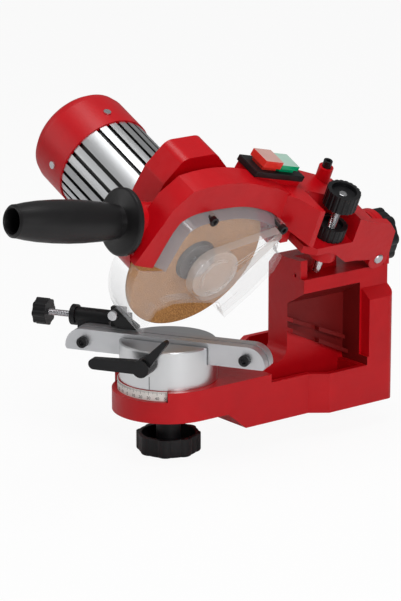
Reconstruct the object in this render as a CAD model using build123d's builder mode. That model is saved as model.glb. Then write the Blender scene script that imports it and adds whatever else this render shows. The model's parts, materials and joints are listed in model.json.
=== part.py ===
from build123d import *
import os
from math import cos, radians, sin

# Bench-mounted electric chain sharpener: a base with a turning chain vise, and a
# tilting, swinging grinding head with its motor. Millimetres, +Z up. The origin is
# the centre of the bench bolt pattern on the foot's underside, +X is the operator's
# right and +Y points away from the operator, who stands at -Y.

os.makedirs("parts", exist_ok=True)

# ---------------------------------------------------------------- clearances
running = 0.05           # radial, shafts and pins in their bores
gap = 0.3                # between faces of pieces that move past each other
wall = 5.0               # casting wall

# ---------------------------------------------------------------- base
ring_r = 52.0            # round nose that carries the vise; also half the bridge width
nose_z = 17.0            # underside of the nose, above the bench
deck_z = 46.0            # top of the ring, bridge and foot
drum_y = -130.0          # axis of the vise
nose_back_y = -101.0     # where the nose's underside starts down to the foot
foot_front_y = -80.0
foot_rear_y = 90.0
foot_half = 64.0         # half width of the rear of the foot
jog_front_y = -6.0       # the side steps out from the bridge to the foot
jog_rear_y = 10.0
floor_t = 8.0            # floor of the foot's side trays
rim_t = 6.0              # rim round those trays
sill_z = 38.0            # lower edge of the open side of the foot
bolt_x = 78.0            # bench bolts, across
bolt_y = 60.0            # bench bolts, front to back
bolt_r = 4.25

column_left = 0.0
column_right = ring_r    # flush with the bridge
column_front = -12.0
column_top = 129.0
web_x = 28.0             # the column's inner wall, at the back of its open side
recess_rear = 56.0
lintel_z = 116.0         # lower edge of the column's top block
pillar_front = 58.0      # rear pillar, as wide as the foot
shoulder_low = 101.0
shoulder_high = 110.0
root_r = 15.0            # the column's concave root
rib_t = 4.0

# ---------------------------------------------------------------- head tilt and swing
tilt = 25.0              # lean of the head at rest, from upright
tilt_x = 27.0            # tilt axis, along Y
tilt_z = 150.0
ear_front = 83.2         # bearing plate on top of the column
ear_r = 27.0
bracket_t = 3.7          # tilt bracket's flange
stud_r = 5.0
stud_end = 103.0

pin_r = 5.0              # swing pivot, in the head's own plane
pin_back = 195.0         # behind the spindle
pin_low = -11.0          # below the spindle
ear_swing_r = 11.0

# ---------------------------------------------------------------- spindle and disc
spindle_x = 34.0
spindle_y = 3.0          # behind the vise axis
spindle_z = 165.0
disc_r = 72.5
disc_bore_r = 11.15
disc_t = 4.5
shaft_r = 6.0
flange_r = 21.0
bearing_r = 14.0
bearing_t = 8.0

# ---------------------------------------------------------------- head casting
hood_r = 90.5
hood_front = 12.0        # the hood's front plate, ahead of the disc
hood_back = 20.0
hood_top = 78.0          # flat on top of the hood and of the motor shell
hood_skin = 4.0
hood_low = 9.0           # lower edge of the hood, above the spindle
band_t = 3.0
shell_front = 33.0
shell_back = 77.0
saddle_left = 34.0       # saddle arm, from motor side to operator's side
saddle_right = 38.0
cheek_t = 7.0
pod_back = 73.0          # centre of the switch, behind the spindle
pod_up = 74.0
pod_in = 15.0
pod_slope = 15.0

# ---------------------------------------------------------------- guard
guard_t = 2.5
guard_front = 20.0
guard_r = 82.0
guard_rim_back = 14.5
bulge = 8.0              # over the spindle nut
guard_screw_spots = [(-13, 55), (72, 31)]

# ---------------------------------------------------------------- motor
motor_r = 47.5
motor_front = 77.0
motor_back = 148.0
cap_r = 49.0
cap_back = 198.0
can_inner_r = 41.0
fin_count = 28
fin_gap = 1.9
fin_depth = 3.2

# ---------------------------------------------------------------- handle
handle_in = 38.0         # behind the disc plane, towards the motor
handle_start = 62.0      # in front of the spindle
handle_up = 25.0
handle_rise = 11.25
handle_len = 128.0
handle_flange_r = 30.5

# ---------------------------------------------------------------- depth stop
stop_out = 22.0
stop_back = 136.0
stop_r = 4.0
stop_tip = -25.0
shelf_top = 14.0

# ---------------------------------------------------------------- vise
vise_turn = 30.0         # turn of the chain line from +X at rest
drum_r = 45.0
drum_low = deck_z + 0.2
drum_top = 82.0
rail_half = 98.5
rail_low = 65.5
rail_top = 86.0
rail_t = 10.0
chain_gap = 1.0          # half the gap between the rails
rail_round = 17.0
rail_screw_x = 80.0
rail_screw_z = 74.0
rail_travel = 1.5        # how far the clamp rail opens
lever_z = 71.5
clamp_screw_r = 4.0
stop_line_y = 18.5       # chain stop, beside the rails
stop_line_z = 90.0
stop_rod_r = 3.0
stop_body_r = 7.8
pawl_x = -53.0
pawl_z = 100.0
lock_knob_r = 30.0
lock_knob_top = -6.5
lock_knob_low = -24.0
lock_stud_r = 5.0

# ---------------------------------------------------------------- working planes
lean_c = cos(radians(tilt))
lean_s = sin(radians(tilt))
spindle_at = Vector(spindle_x, drum_y + spindle_y, spindle_z)
# the disc's plane: local x points back, local y up, local z out to the operator's side
head = Plane(origin=spindle_at, x_dir=(0, 1, 0), z_dir=(lean_c, 0, -lean_s))
# a plane through the spindle for turned pieces: local x is the radius, local y runs
# along the spindle, away from the motor
radial = Plane(origin=spindle_at, x_dir=(lean_s, 0, lean_c), z_dir=(0, 1, 0))
spindle_axis = Axis(spindle_at, (lean_c, 0, -lean_s))
# seen from above the head: local x points back, local y towards the motor
above = Plane(origin=spindle_at, x_dir=(0, 1, 0), z_dir=(lean_s, 0, lean_c))
# the switch's sloping seat
pod = Plane(
    origin=head.from_local_coords((pod_back, pod_up, -pod_in)),
    x_dir=head.from_local_coords((cos(radians(pod_slope)), -sin(radians(pod_slope)), 0)) - spindle_at,
    z_dir=head.from_local_coords((sin(radians(pod_slope)), cos(radians(pod_slope)), 0)) - spindle_at,
)
# the handle: local z runs out along the grip
grip_start = head.from_local_coords((-handle_start, handle_up, -handle_in))
grip = Plane(
    origin=grip_start,
    x_dir=(lean_c, 0, -lean_s),
    z_dir=head.from_local_coords((-cos(radians(handle_rise)), sin(radians(handle_rise)), 0)) - spindle_at,
)
# the vise: local x along the chain, local y towards the column side
vise = Plane(
    origin=(0, drum_y, 0),
    x_dir=(cos(radians(vise_turn)), sin(radians(vise_turn)), 0),
    z_dir=(0, 0, 1),
)
# across the vise, seen from the operator: local x along the chain, local y up
rail_face = Plane(origin=vise.origin, x_dir=vise.x_dir, z_dir=-vise.y_dir)
# along the chain: local x across the vise, local y up, local z along the chain
chain_end = Plane(origin=vise.origin, x_dir=vise.y_dir, z_dir=vise.x_dir)


def turned(points, plane, axis):
    """A solid of revolution: its half section lies in the plane, beside the axis."""
    with BuildPart() as piece:
        with BuildSketch(plane):
            with BuildLine():
                Polyline(points, close=True)
            make_face()
        revolve(axis=axis)
    return piece


# ================================================================= base casting
with BuildPart() as base_casting:
    with BuildSketch(Plane.YZ.offset(-ring_r)):
        with BuildLine():
            Polyline(
                (drum_y, nose_z), (nose_back_y, nose_z), (foot_front_y, 0), (foot_rear_y, 0),
                (foot_rear_y, deck_z), (drum_y, deck_z), close=True,
            )
        make_face()
    extrude(amount=2 * ring_r)
    with BuildSketch(Plane.XY.offset(nose_z)):
        with Locations((0, drum_y)):
            Circle(ring_r)
    extrude(amount=deck_z - nose_z)
    with BuildSketch(Plane.XY):
        with BuildLine():
            Polyline(
                (-ring_r, jog_front_y), (ring_r, jog_front_y), (foot_half, jog_rear_y),
                (foot_half, foot_rear_y), (-foot_half, foot_rear_y), (-foot_half, jog_rear_y), close=True,
            )
        make_face()
    extrude(amount=deck_z)
    # column, its rear pillar with sloping shoulders
    with BuildSketch(Plane.XY.offset(deck_z)):
        with Locations(((column_left + column_right) / 2, (column_front + foot_rear_y) / 2)):
            Rectangle(column_right - column_left, foot_rear_y - column_front)
    extrude(amount=column_top - deck_z)
    with BuildSketch(Plane.XZ.offset(-foot_rear_y)):
        with BuildLine():
            Polyline(
                (column_left, 0), (foot_half, 0), (foot_half, shoulder_low),
                (column_right, shoulder_high), (column_left, shoulder_high), close=True,
            )
        make_face()
    extrude(amount=foot_rear_y - pillar_front)
    column_root = base_casting.edges().filter_by(Axis.X).filter_by(
        lambda e: abs(e.center().Y - column_front) < 0.01 and abs(e.center().Z - deck_z) < 0.01
    )
    fillet(column_root, root_r)
    rear_corners = base_casting.edges().filter_by(Axis.Z).filter_by(
        lambda e: abs(e.center().Y - foot_rear_y) < 0.01 and abs(abs(e.center().X) - foot_half) < 0.01
    )
    fillet(rear_corners, 8)
    # the column's open side, under the lintel, with a ceiling that slopes inwards
    with BuildSketch(Plane.XZ.offset(-recess_rear)):
        with BuildLine():
            Polyline(
                (web_x, sill_z), (foot_half + 1, sill_z), (foot_half + 1, lintel_z),
                (column_right, lintel_z), (web_x, lintel_z - 14), close=True,
            )
        make_face()
    extrude(amount=recess_rear - foot_front_y - 30, mode=Mode.SUBTRACT)
    # trays in the foot, right and left of the column
    with BuildSketch(Plane.XY.offset(floor_t)):
        with BuildLine():
            Polyline(
                (web_x, foot_front_y + 36), (ring_r - rim_t, foot_front_y + 36), (ring_r - rim_t, jog_front_y + 2),
                (foot_half - rim_t, jog_rear_y + 2), (foot_half - rim_t, recess_rear - 6),
                (web_x, recess_rear - 6), close=True,
            )
        make_face()
    extrude(amount=sill_z, mode=Mode.SUBTRACT)
    with BuildSketch(Plane.XY.offset(floor_t)):
        with BuildLine():
            Polyline(
                (column_left - 8, foot_front_y + 36), (rim_t - ring_r, foot_front_y + 36),
                (rim_t - ring_r, jog_front_y + 2), (rim_t - foot_half, jog_rear_y + 2),
                (rim_t - foot_half, foot_rear_y - 12), (column_left - 8, foot_rear_y - 12), close=True,
            )
        make_face()
    extrude(amount=deck_z, mode=Mode.SUBTRACT)
    # core of the column and of the bridge, open underneath
    with BuildSketch(Plane.XY):
        with Locations(((column_left + web_x) / 2, (column_front + foot_rear_y) / 2)):
            Rectangle(web_x - column_left - 2 * wall, foot_rear_y - column_front - 4 * wall)
    extrude(amount=column_top - 2 * wall, mode=Mode.SUBTRACT)
    with BuildSketch(Plane.XY):
        with Locations((0, foot_front_y + 18)):
            Rectangle(2 * ring_r - 2 * rim_t, 24)
    extrude(amount=deck_z - wall, mode=Mode.SUBTRACT)
    # stiffening ribs on the inner wall
    for front_z, rear_y, rear_z in ((89, 52, 62), (79, recess_rear, 47)):
        with BuildSketch(Plane.YZ.offset(web_x - 1)):
            with BuildLine():
                Polyline(
                    (column_front, front_z), (rear_y, rear_z), (rear_y, rear_z - rib_t),
                    (column_front, front_z - rib_t), close=True,
                )
            make_face()
        extrude(amount=9)
    # seats and holes
    with BuildSketch(Plane.XY):
        with Locations((0, drum_y)):
            Circle(lock_stud_r + running)
    extrude(amount=deck_z + 1, mode=Mode.SUBTRACT)
    with BuildSketch(Plane.XY):
        with GridLocations(bolt_x, bolt_y, 2, 2):
            Circle(bolt_r)
    extrude(amount=floor_t + 1, mode=Mode.SUBTRACT)
    # room for the tilt bracket to turn
    with BuildSketch(Plane.XZ.offset(-ear_front)):
        with Locations((tilt_x, tilt_z)):
            Circle(ear_r + gap)
    extrude(amount=bracket_t + 2 * gap, mode=Mode.SUBTRACT)
    # pocket for the scale band, in the top edge of the ring
    with BuildSketch(Plane.XY.offset(deck_z - 9)):
        with BuildLine():
            CenterArc((0, drum_y), drum_r + 1.2, -146, 108)
            CenterArc((0, drum_y), ring_r + 2, -146, 108)
            Line(
                (0, drum_y) + Vector(drum_r + 1.2, 0).rotate(Axis.Z, -146),
                (0, drum_y) + Vector(ring_r + 2, 0).rotate(Axis.Z, -146),
            )
            Line(
                (0, drum_y) + Vector(drum_r + 1.2, 0).rotate(Axis.Z, -38),
                (0, drum_y) + Vector(ring_r + 2, 0).rotate(Axis.Z, -38),
            )
        make_face()
    extrude(amount=10, mode=Mode.SUBTRACT)


# bearing plate for the tilt stud, standing on the column's rear edge
with BuildPart() as bearing_plate:
    with BuildSketch(Plane.XZ.offset(-foot_rear_y)):
        with Locations((tilt_x, tilt_z)):
            Circle(ear_r)
        with Locations((tilt_x, (column_top + tilt_z) / 2)):
            Rectangle(2 * ear_r, tilt_z - column_top)
        with Locations((tilt_x, tilt_z)):
            Circle(stud_r + running, mode=Mode.SUBTRACT)
        with Locations((tilt_x, column_top - ear_r)):
            Rectangle(4 * ear_r, 2 * ear_r, mode=Mode.SUBTRACT)
    extrude(amount=foot_rear_y - ear_front)

# the printed angle scale, seated in that pocket
with BuildPart() as angle_scale:
    with BuildSketch(Plane.XY.offset(deck_z - 9)):
        with BuildLine():
            CenterArc((0, drum_y), drum_r + 1.2, -145.5, 107)
            CenterArc((0, drum_y), drum_r + 2.0, -145.5, 107)
            Line(
                Vector(0, drum_y) + Vector(drum_r + 1.2, 0).rotate(Axis.Z, -145.5),
                Vector(0, drum_y) + Vector(drum_r + 2.0, 0).rotate(Axis.Z, -145.5),
            )
            Line(
                Vector(0, drum_y) + Vector(drum_r + 1.2, 0).rotate(Axis.Z, -38.5),
                Vector(0, drum_y) + Vector(drum_r + 2.0, 0).rotate(Axis.Z, -38.5),
            )
        make_face()
    extrude(amount=8.8)

# ================================================================= tilt bracket
flange_rear = ear_front - 0.2
lug_left = cheek_t - saddle_left + 9
with BuildPart() as tilt_bracket:
    with BuildSketch(Plane.XZ.offset(-flange_rear)):
        with Locations((tilt_x, tilt_z)):
            Circle(ear_r)
    extrude(amount=bracket_t)
    lug_rear = flange_rear - drum_y - spindle_y - 1
    with BuildSketch(head.offset(lug_left)):
        with Locations((pin_back, pin_low)):
            Circle(ear_swing_r)
        with Locations(((pin_back + lug_rear) / 2, pin_low)):
            Rectangle(lug_rear - pin_back, 2 * ear_swing_r)
    extrude(amount=saddle_right - cheek_t - 2 - lug_left)
    with BuildSketch(head.offset(-saddle_left)):
        with Locations((pin_back, pin_low)):
            Circle(pin_r)
    extrude(amount=saddle_left + saddle_right, mode=Mode.SUBTRACT)
    with BuildSketch(Plane.XZ.offset(-flange_rear)):
        with Locations((tilt_x, tilt_z)):
            Circle(stud_r)
    extrude(amount=bracket_t + 3, mode=Mode.SUBTRACT)

with BuildPart() as tilt_stud:
    with BuildSketch(Plane.XZ.offset(-stud_end)):
        with Locations((tilt_x, tilt_z)):
            Circle(stud_r)
    extrude(amount=stud_end - flange_rear + bracket_t + 3)
    chamfer(tilt_stud.faces().sort_by(Axis.Y)[-1].edges(), 1)

with BuildPart() as tilt_washer:
    with BuildSketch(Plane.XZ.offset(-foot_rear_y - 1.8)):
        with Locations((tilt_x, tilt_z)):
            Circle(13)
            Circle(stud_r + running, mode=Mode.SUBTRACT)
    extrude(amount=1.6)

knob_front = foot_rear_y + 2.1
with BuildPart() as tilt_lock_knob:
    with BuildSketch(Plane.XZ.offset(-knob_front - 12)):
        with Locations((tilt_x, tilt_z)):
            Circle(24)
            with PolarLocations(19.5, 8):
                Circle(6.5)
    extrude(amount=12)
    fillet(tilt_lock_knob.faces().sort_by(Axis.Y)[-1].edges(), 1.5)
    with BuildSketch(Plane.XZ.offset(-knob_front - 12)):
        with Locations((tilt_x, tilt_z)):
            Circle(16)
            Circle(10, mode=Mode.SUBTRACT)
    extrude(amount=5, mode=Mode.SUBTRACT)
    with BuildSketch(Plane.XZ.offset(-knob_front - 12)):
        with Locations((tilt_x, tilt_z)):
            Circle(stud_r + running)
    extrude(amount=12, mode=Mode.SUBTRACT)

pin_axis = Axis(head.from_local_coords((pin_back, pin_low, 0)), head.z_dir)
pin_plane = Plane(origin=pin_axis.position, x_dir=radial.x_dir, z_dir=(0, 1, 0))
pivot_pin = turned(
    [(0, 4 - saddle_left), (pin_r, 4 - saddle_left), (pin_r, saddle_right + 0.4), (pin_r - 0.8, saddle_right + 1.2),
     (0, saddle_right + 1.2)],
    pin_plane, pin_axis,
)


# return spring, coiled on the pin between the lug and the motor-side cheek
spring_r = 7.0
spring_wire = 1.0
spring_pitch = 2.3
spring_turns = 3
with BuildPart() as return_spring:
    with BuildLine() as coil:
        Helix(
            spring_pitch, spring_pitch * spring_turns, spring_r,
            center=head.from_local_coords((pin_back, pin_low, lug_left - spring_pitch * spring_turns - spring_wire - 0.1)),
            direction=head.z_dir,
        )
    with BuildSketch(Plane(origin=coil.line @ 0, z_dir=coil.line % 0)):
        Circle(spring_wire)
    sweep(path=coil.line, is_frenet=True)

# ================================================================= guard outline
# the guard's upper edge, from the operator's right round to the left
crown_centre = (12.0, hood_low)
crown = [(87.5, hood_low), (86.5, 24), (77, 41), (54, 52), (22, 61), (-15, 62), (-45, 45), (-62, hood_low)]


def guard_outline(shrink, bevel):
    """The guard seen along the spindle; the bevel pulls in its upper edge only."""
    keep = 1 - shrink / 70
    pull = 1 - (shrink + bevel) / 60
    round_r = guard_r - shrink
    centre_x, centre_y = crown_centre
    edge = [(centre_x + (x - centre_x) * pull, centre_y + (y - centre_y) * pull) for x, y in crown]
    with BuildSketch() as outline:
        with BuildLine():
            left_arc = ThreePointArc((-round_r, hood_low), (-68 * keep, -46 * keep), (-50 * keep, -66 + shrink))
            Polyline(
                left_arc @ 1, (-28, -38 + shrink), (33, -40 + shrink), (50 * keep, -66 + shrink),
                (84 - shrink, -17), (87.5 - shrink, -6), edge[0],
            )
            Spline(edge)
            Line(edge[-1], left_arc @ 0)
        make_face()
    return outline.sketch


# ================================================================= head casting
saddle_reach = pin_back + ear_swing_r + 1
with BuildPart() as head_housing:
    # disc hood, flat on top, open downwards
    with BuildSketch(head.offset(-hood_back)):
        Circle(hood_r)
        with Locations((0, hood_top + 20)):
            Rectangle(2 * hood_r, 40, mode=Mode.SUBTRACT)
        with Locations((0, hood_low - hood_r)):
            Rectangle(2 * hood_r + 10, 2 * hood_r, mode=Mode.SUBTRACT)
        with BuildLine():
            Polyline((-hood_r - 2, hood_low), (-66, hood_low), (-86, 24), (-hood_r - 2, 30), close=True)
        make_face(mode=Mode.SUBTRACT)
        with BuildLine():
            Polyline((60, hood_low), (saddle_reach - 110, hood_low), (saddle_reach - 107, 58), (60, 68), close=True)
        make_face()
    extrude(amount=hood_back + hood_front)
    # motor shell: a neck behind the hood, then the full body
    for start, depth, grow in ((shell_front, shell_front - 8, -9), (shell_back, shell_back - shell_front, 0)):
        with BuildSketch(head.offset(-start)):
            Circle(50 + grow / 3)
            with Locations((-38, 30)):
                Circle(22 + grow)
            with Locations((-4, hood_top - 14), (30, hood_top - 14)):
                Circle(14 + grow)
            with Locations((46, 30)):
                Circle(20 + grow)
            make_hull()
        extrude(amount=depth)
    shell_edge = head_housing.faces().sort_by(spindle_axis)[0].outer_wire().edges()
    fillet(shell_edge, 7)
    # handle boss
    with BuildSketch(grip.offset(-26)):
        Circle(17)
    extrude(amount=26)
    # saddle arm back to the pivot
    with BuildSketch(head.offset(-saddle_left)):
        with BuildLine():
            Polyline(
                (40, 60), (84, 66), (111, 59), (140, 48), (176, 34), (197, 16), (pin_back, pin_low + 4),
                (176, -8), (152, -6), (137, 5), (107, 18), (85, 30), (40, 20), close=True,
            )
        make_face()
    extrude(amount=saddle_left + saddle_right)
    with BuildSketch(head.offset(-saddle_left)):
        with Locations((pin_back, pin_low)):
            Circle(ear_swing_r)
    extrude(amount=saddle_left + saddle_right)
    with BuildSketch(head.offset(saddle_right - cheek_t)):
        with BuildLine():
            Polyline(
                (170, 36), (194, 31), (204, 20), (saddle_reach, pin_low + 3), (pin_back, pin_low), (170, -8), close=True,
            )
        make_face()
        with Locations((pin_back, pin_low)):
            Circle(ear_swing_r + 1)
    extrude(amount=cheek_t)
    # the saddle widens from the hood to its right cheek
    with BuildSketch(above.offset(-40)):
        with BuildLine():
            Polyline((20, -hood_front), (78, -hood_front), (98, -saddle_right), (98, -70), (20, -70), close=True)
        make_face()
    extrude(amount=140, mode=Mode.SUBTRACT)
    # hollow under the saddle, between its cheeks
    with BuildSketch(head.offset(cheek_t - saddle_left)):
        with BuildLine():
            Polyline(
                (saddle_reach + 20, 24), (174, 26), (138, 41), (112, 50), (104, 50), (104, -60),
                (saddle_reach + 20, -60), close=True,
            )
        make_face()
    extrude(amount=saddle_left + saddle_right - 2 * cheek_t, mode=Mode.SUBTRACT)
    # open corner for the depth stop, with its threaded shelf below
    with BuildSketch(head.offset(5)):
        with BuildLine():
            Polyline((104, shelf_top), (153, shelf_top), (153, 80), (104, 80), close=True)
        make_face()
    extrude(amount=40, mode=Mode.SUBTRACT)
    with BuildSketch(above.offset(shelf_top)):
        with BuildLine():
            Polyline(
                (100, -5), (158, -5), (158, -saddle_right), (112, -saddle_right), (100, -30), close=True,
            )
        make_face()
    extrude(amount=-8)
    with BuildSketch(above.offset(shelf_top)):
        with Locations((stop_back, -stop_out)):
            Circle(13)
    extrude(amount=-20)
    with BuildSketch(above.offset(shelf_top + 1)):
        with Locations((stop_back, -stop_out)):
            Circle(stop_r + running)
    extrude(amount=-40, mode=Mode.SUBTRACT)
    # inner wall beside the stop
    with BuildSketch(head.offset(5)):
        with BuildLine():
            Polyline((100, 8), (158, 8), (158, 42), (140, 48), (111, 59), (100, 62), close=True)
        make_face()
    extrude(amount=-5)
    # pivot bore
    with BuildSketch(head.offset(-saddle_left - 1)):
        with Locations((pin_back, pin_low)):
            Circle(pin_r + running)
    extrude(amount=saddle_left + saddle_right + 10, mode=Mode.SUBTRACT)
    # arm screw boss
    with BuildSketch(above.offset(40)):
        with Locations((146, 26)):
            Circle(7)
    extrude(amount=17)
    # switch pod and its socket
    with BuildSketch(pod):
        Rectangle(60, 26)
    extrude(amount=-34)
    with BuildSketch(pod):
        Rectangle(46, 20)
    extrude(amount=-20, mode=Mode.SUBTRACT)
    # disc chamber, open at the bottom
    with BuildSketch(head.offset(-hood_back + wall)):
        Circle(hood_r - hood_skin)
        with Locations((0, hood_top - hood_skin + 20)):
            Rectangle(2 * hood_r, 40, mode=Mode.SUBTRACT)
        with Locations((0, -40)):
            Rectangle(2 * hood_r + 10, 100)
    extrude(amount=hood_back - wall + hood_front - band_t, mode=Mode.SUBTRACT)
    # thicker behind the handle, whose flange lies in a relief beside the hood
    with BuildSketch(head.offset(-hood_back)):
        Circle(hood_r - 1)
        with Locations((-76, hood_low + 26)):
            Rectangle(40, 52, mode=Mode.INTERSECT)
    extrude(amount=hood_back - 5.5)
    with BuildSketch(grip):
        Circle(handle_flange_r + gap)
    extrude(amount=60, mode=Mode.SUBTRACT)
    # window in the front band, round the guard's crown
    with BuildSketch(head.offset(hood_front - band_t - 1)):
        add(guard_outline(-gap, 0))
        with Locations((0, hood_low - 46)):
            Rectangle(2 * guard_r + 30, 92)
    extrude(amount=band_t + 2, mode=Mode.SUBTRACT)
    # motor chamber and bearing seats
    with BuildSketch(head.offset(-shell_back - 1)):
        Circle(can_inner_r + 3)
    extrude(amount=shell_back + 1 - 40, mode=Mode.SUBTRACT)
    with BuildSketch(head.offset(-41)):
        Circle(bearing_r)
    extrude(amount=41 - 24, mode=Mode.SUBTRACT)
    with BuildSketch(head.offset(-41)):
        Circle(shaft_r + 3)
    extrude(amount=41, mode=Mode.SUBTRACT)
    # handle stud
    with BuildSketch(grip):
        Circle(5)
    extrude(amount=-20, mode=Mode.SUBTRACT)


# ================================================================= clear disc guard
# one moulding: a front face that drops from behind the hood's band, a rim round the
# disc on both lower sides, and a bulge over the spindle nut that runs out to the right
lip_front = hood_front - band_t - 0.2
with BuildPart() as guard_cover:
    with BuildSketch(head.offset(lip_front)):
        add(guard_outline(gap, 0))
    with BuildSketch(head.offset(guard_front)):
        add(guard_outline(gap, 7))
    loft(ruled=True)
    with BuildSketch(head.offset(-guard_rim_back)):
        add(guard_outline(gap, 0))
        with Locations((0, 50 + hood_low - gap)):
            Rectangle(200, 100, mode=Mode.SUBTRACT)
    extrude(amount=guard_rim_back + lip_front)
    with BuildSketch(head.offset(guard_front - 0.1)):
        Circle(27)
        with Locations(guard_screw_spots[1]):
            Circle(7)
        make_hull()
    extrude(amount=bulge, taper=12)
    # hollow it from behind
    with BuildSketch(head.offset(lip_front - 0.1)):
        add(guard_outline(gap + guard_t, 0))
    with BuildSketch(head.offset(guard_front - guard_t)):
        add(guard_outline(gap + guard_t, 7))
    loft(ruled=True, mode=Mode.SUBTRACT)
    with BuildSketch(head.offset(-guard_rim_back - 1)):
        add(guard_outline(gap + guard_t, 0))
        Circle(disc_r + 1.5)
    extrude(amount=guard_rim_back + 1 + lip_front, mode=Mode.SUBTRACT)
    # the disc comes out between the two toes
    with BuildSketch(head.offset(-guard_rim_back - 1)):
        with Locations((2, -60)):
            Rectangle(84, 60)
    extrude(amount=guard_rim_back + 1 + guard_front - guard_t, mode=Mode.SUBTRACT)
    with BuildSketch(head.offset(guard_front - guard_t - 0.1)):
        Circle(27 - guard_t)
    extrude(amount=bulge, taper=12, mode=Mode.SUBTRACT)
    # lip behind the band, inside the hood
    with BuildSketch(head.offset(lip_front - 2.2)):
        add(guard_outline(-3.5, 0))
        Circle(hood_r - hood_skin - gap, mode=Mode.INTERSECT)
        add(guard_outline(gap + guard_t, 0), mode=Mode.SUBTRACT)
        with Locations((0, hood_low - 50)):
            Rectangle(200, 100, mode=Mode.SUBTRACT)
    extrude(amount=2.2)
    # bosses for the two screws
    with BuildSketch(head.offset(lip_front - 2.2)):
        with Locations(*guard_screw_spots):
            Circle(5)
    extrude(amount=guard_front - lip_front + 2.2)
    with BuildSketch(head):
        with Locations(*guard_screw_spots):
            Circle(2)
    extrude(amount=40, mode=Mode.SUBTRACT)

with BuildPart() as guard_screws:
    for spot, seat in zip(guard_screw_spots, (guard_front, guard_front + bulge)):
        with BuildSketch(head.offset(lip_front - 3)):
            with Locations(spot):
                Circle(2)
        extrude(amount=seat + 0.2 - lip_front + 3)
        with BuildSketch(head.offset(seat + 0.1)):
            with Locations(spot):
                Circle(4.4)
        extrude(amount=4.5)
        with BuildSketch(head.offset(seat + 4.6)):
            with Locations(spot):
                RegularPolygon(2.3, 6)
        extrude(amount=-2.5, mode=Mode.SUBTRACT)

# ================================================================= handle
with BuildPart() as handle_grip:
    with BuildSketch(Plane(origin=grip_start, x_dir=grip.x_dir, z_dir=-grip.y_dir)):
        with BuildLine():
            Polyline(
                (5, 0), (handle_flange_r, 0), (handle_flange_r, 4), (handle_flange_r - 3, 6), (19, 7), (15.5, 11),
            )
            Spline((15.5, 11), (16.6, 30), (19.2, 60), (17.8, 96), (15, handle_len - 8))
            Polyline((15, handle_len - 8), (14, handle_len - 2), (12, handle_len), (0, handle_len), (0, 42), (5, 42), (5, 0))
        make_face()
    revolve(axis=Axis(grip_start, grip.z_dir))

with BuildPart() as handle_stud:
    with BuildSketch(grip.offset(-20)):
        Circle(5)
    extrude(amount=20 + 40)

# ================================================================= switch
frame_t = 6.0
well_x = 42.0
well_y = 17.0
travel = 3.0
with BuildPart() as switch_frame:
    with BuildSketch(pod):
        RectangleRounded(64, 28, 5)
    extrude(amount=frame_t)
    chamfer(switch_frame.faces().sort_by(Axis(pod.origin, pod.z_dir))[-1].edges(), 1.5)
    with BuildSketch(pod):
        Rectangle(46 - 2 * gap, 20 - 2 * gap)
    extrude(amount=-18)
    with BuildSketch(pod.offset(frame_t)):
        Rectangle(well_x, well_y)
    extrude(amount=-frame_t - 12, mode=Mode.SUBTRACT)

with BuildPart() as stop_button:
    with BuildSketch(pod.offset(travel + 0.2 - 12)):
        with Locations((-well_x / 4, 0)):
            Rectangle(well_x / 2 - 2 * gap, well_y - 2 * gap)
    extrude(amount=12 - travel - 0.2 + frame_t + 9)
    fillet(stop_button.faces().sort_by(Axis(pod.origin, pod.z_dir))[-1].edges(), 1.5)

with BuildPart() as start_button:
    with BuildSketch(pod.offset(travel + 0.2 - 12)):
        with Locations((well_x / 4, 0)):
            Rectangle(well_x / 2 - 2 * gap, well_y - 2 * gap)
    extrude(amount=12 - travel - 0.2 + frame_t + 5)
    fillet(start_button.faces().sort_by(Axis(pod.origin, pod.z_dir))[-1].edges(), 1.5)

# ================================================================= depth stop and arm screw
stop_spot = (stop_back, -stop_out)
with BuildPart() as depth_stop_rod:
    with BuildSketch(above.offset(stop_tip)):
        with Locations(stop_spot):
            Circle(stop_r)
    extrude(amount=64 - stop_tip)

with BuildPart() as depth_stop_knob:
    with BuildSketch(above.offset(51)):
        with Locations(stop_spot):
            Circle(16)
            with PolarLocations(16.9, 20):
                Circle(1.5, mode=Mode.SUBTRACT)
    extrude(amount=17)
    with BuildSketch(above.offset(68)):
        with Locations(stop_spot):
            Circle(10)
    extrude(amount=-4, mode=Mode.SUBTRACT)
    with BuildSketch(above.offset(51)):
        with Locations(stop_spot):
            Circle(stop_r + running)
    extrude(amount=17, mode=Mode.SUBTRACT)

with BuildPart() as depth_stop_nut:
    with BuildSketch(above.offset(shelf_top + 0.2)):
        with Locations(stop_spot):
            Circle(14.5)
            with PolarLocations(15.3, 18):
                Circle(1.4, mode=Mode.SUBTRACT)
    extrude(amount=13.5)
    with BuildSketch(above.offset(shelf_top + 13.7)):
        with Locations(stop_spot):
            Circle(10)
    extrude(amount=-4, mode=Mode.SUBTRACT)
    with BuildSketch(above.offset(shelf_top)):
        with Locations(stop_spot):
            Circle(stop_r + running)
    extrude(amount=14, mode=Mode.SUBTRACT)

with BuildPart() as arm_screw:
    with BuildSketch(above.offset(57)):
        with Locations((146, 26)):
            Circle(4.3)
    extrude(amount=7)
    with BuildSketch(above.offset(64)):
        with Locations((146, 26)):
            RegularPolygon(2.4, 6)
    extrude(amount=-3.5, mode=Mode.SUBTRACT)

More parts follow.
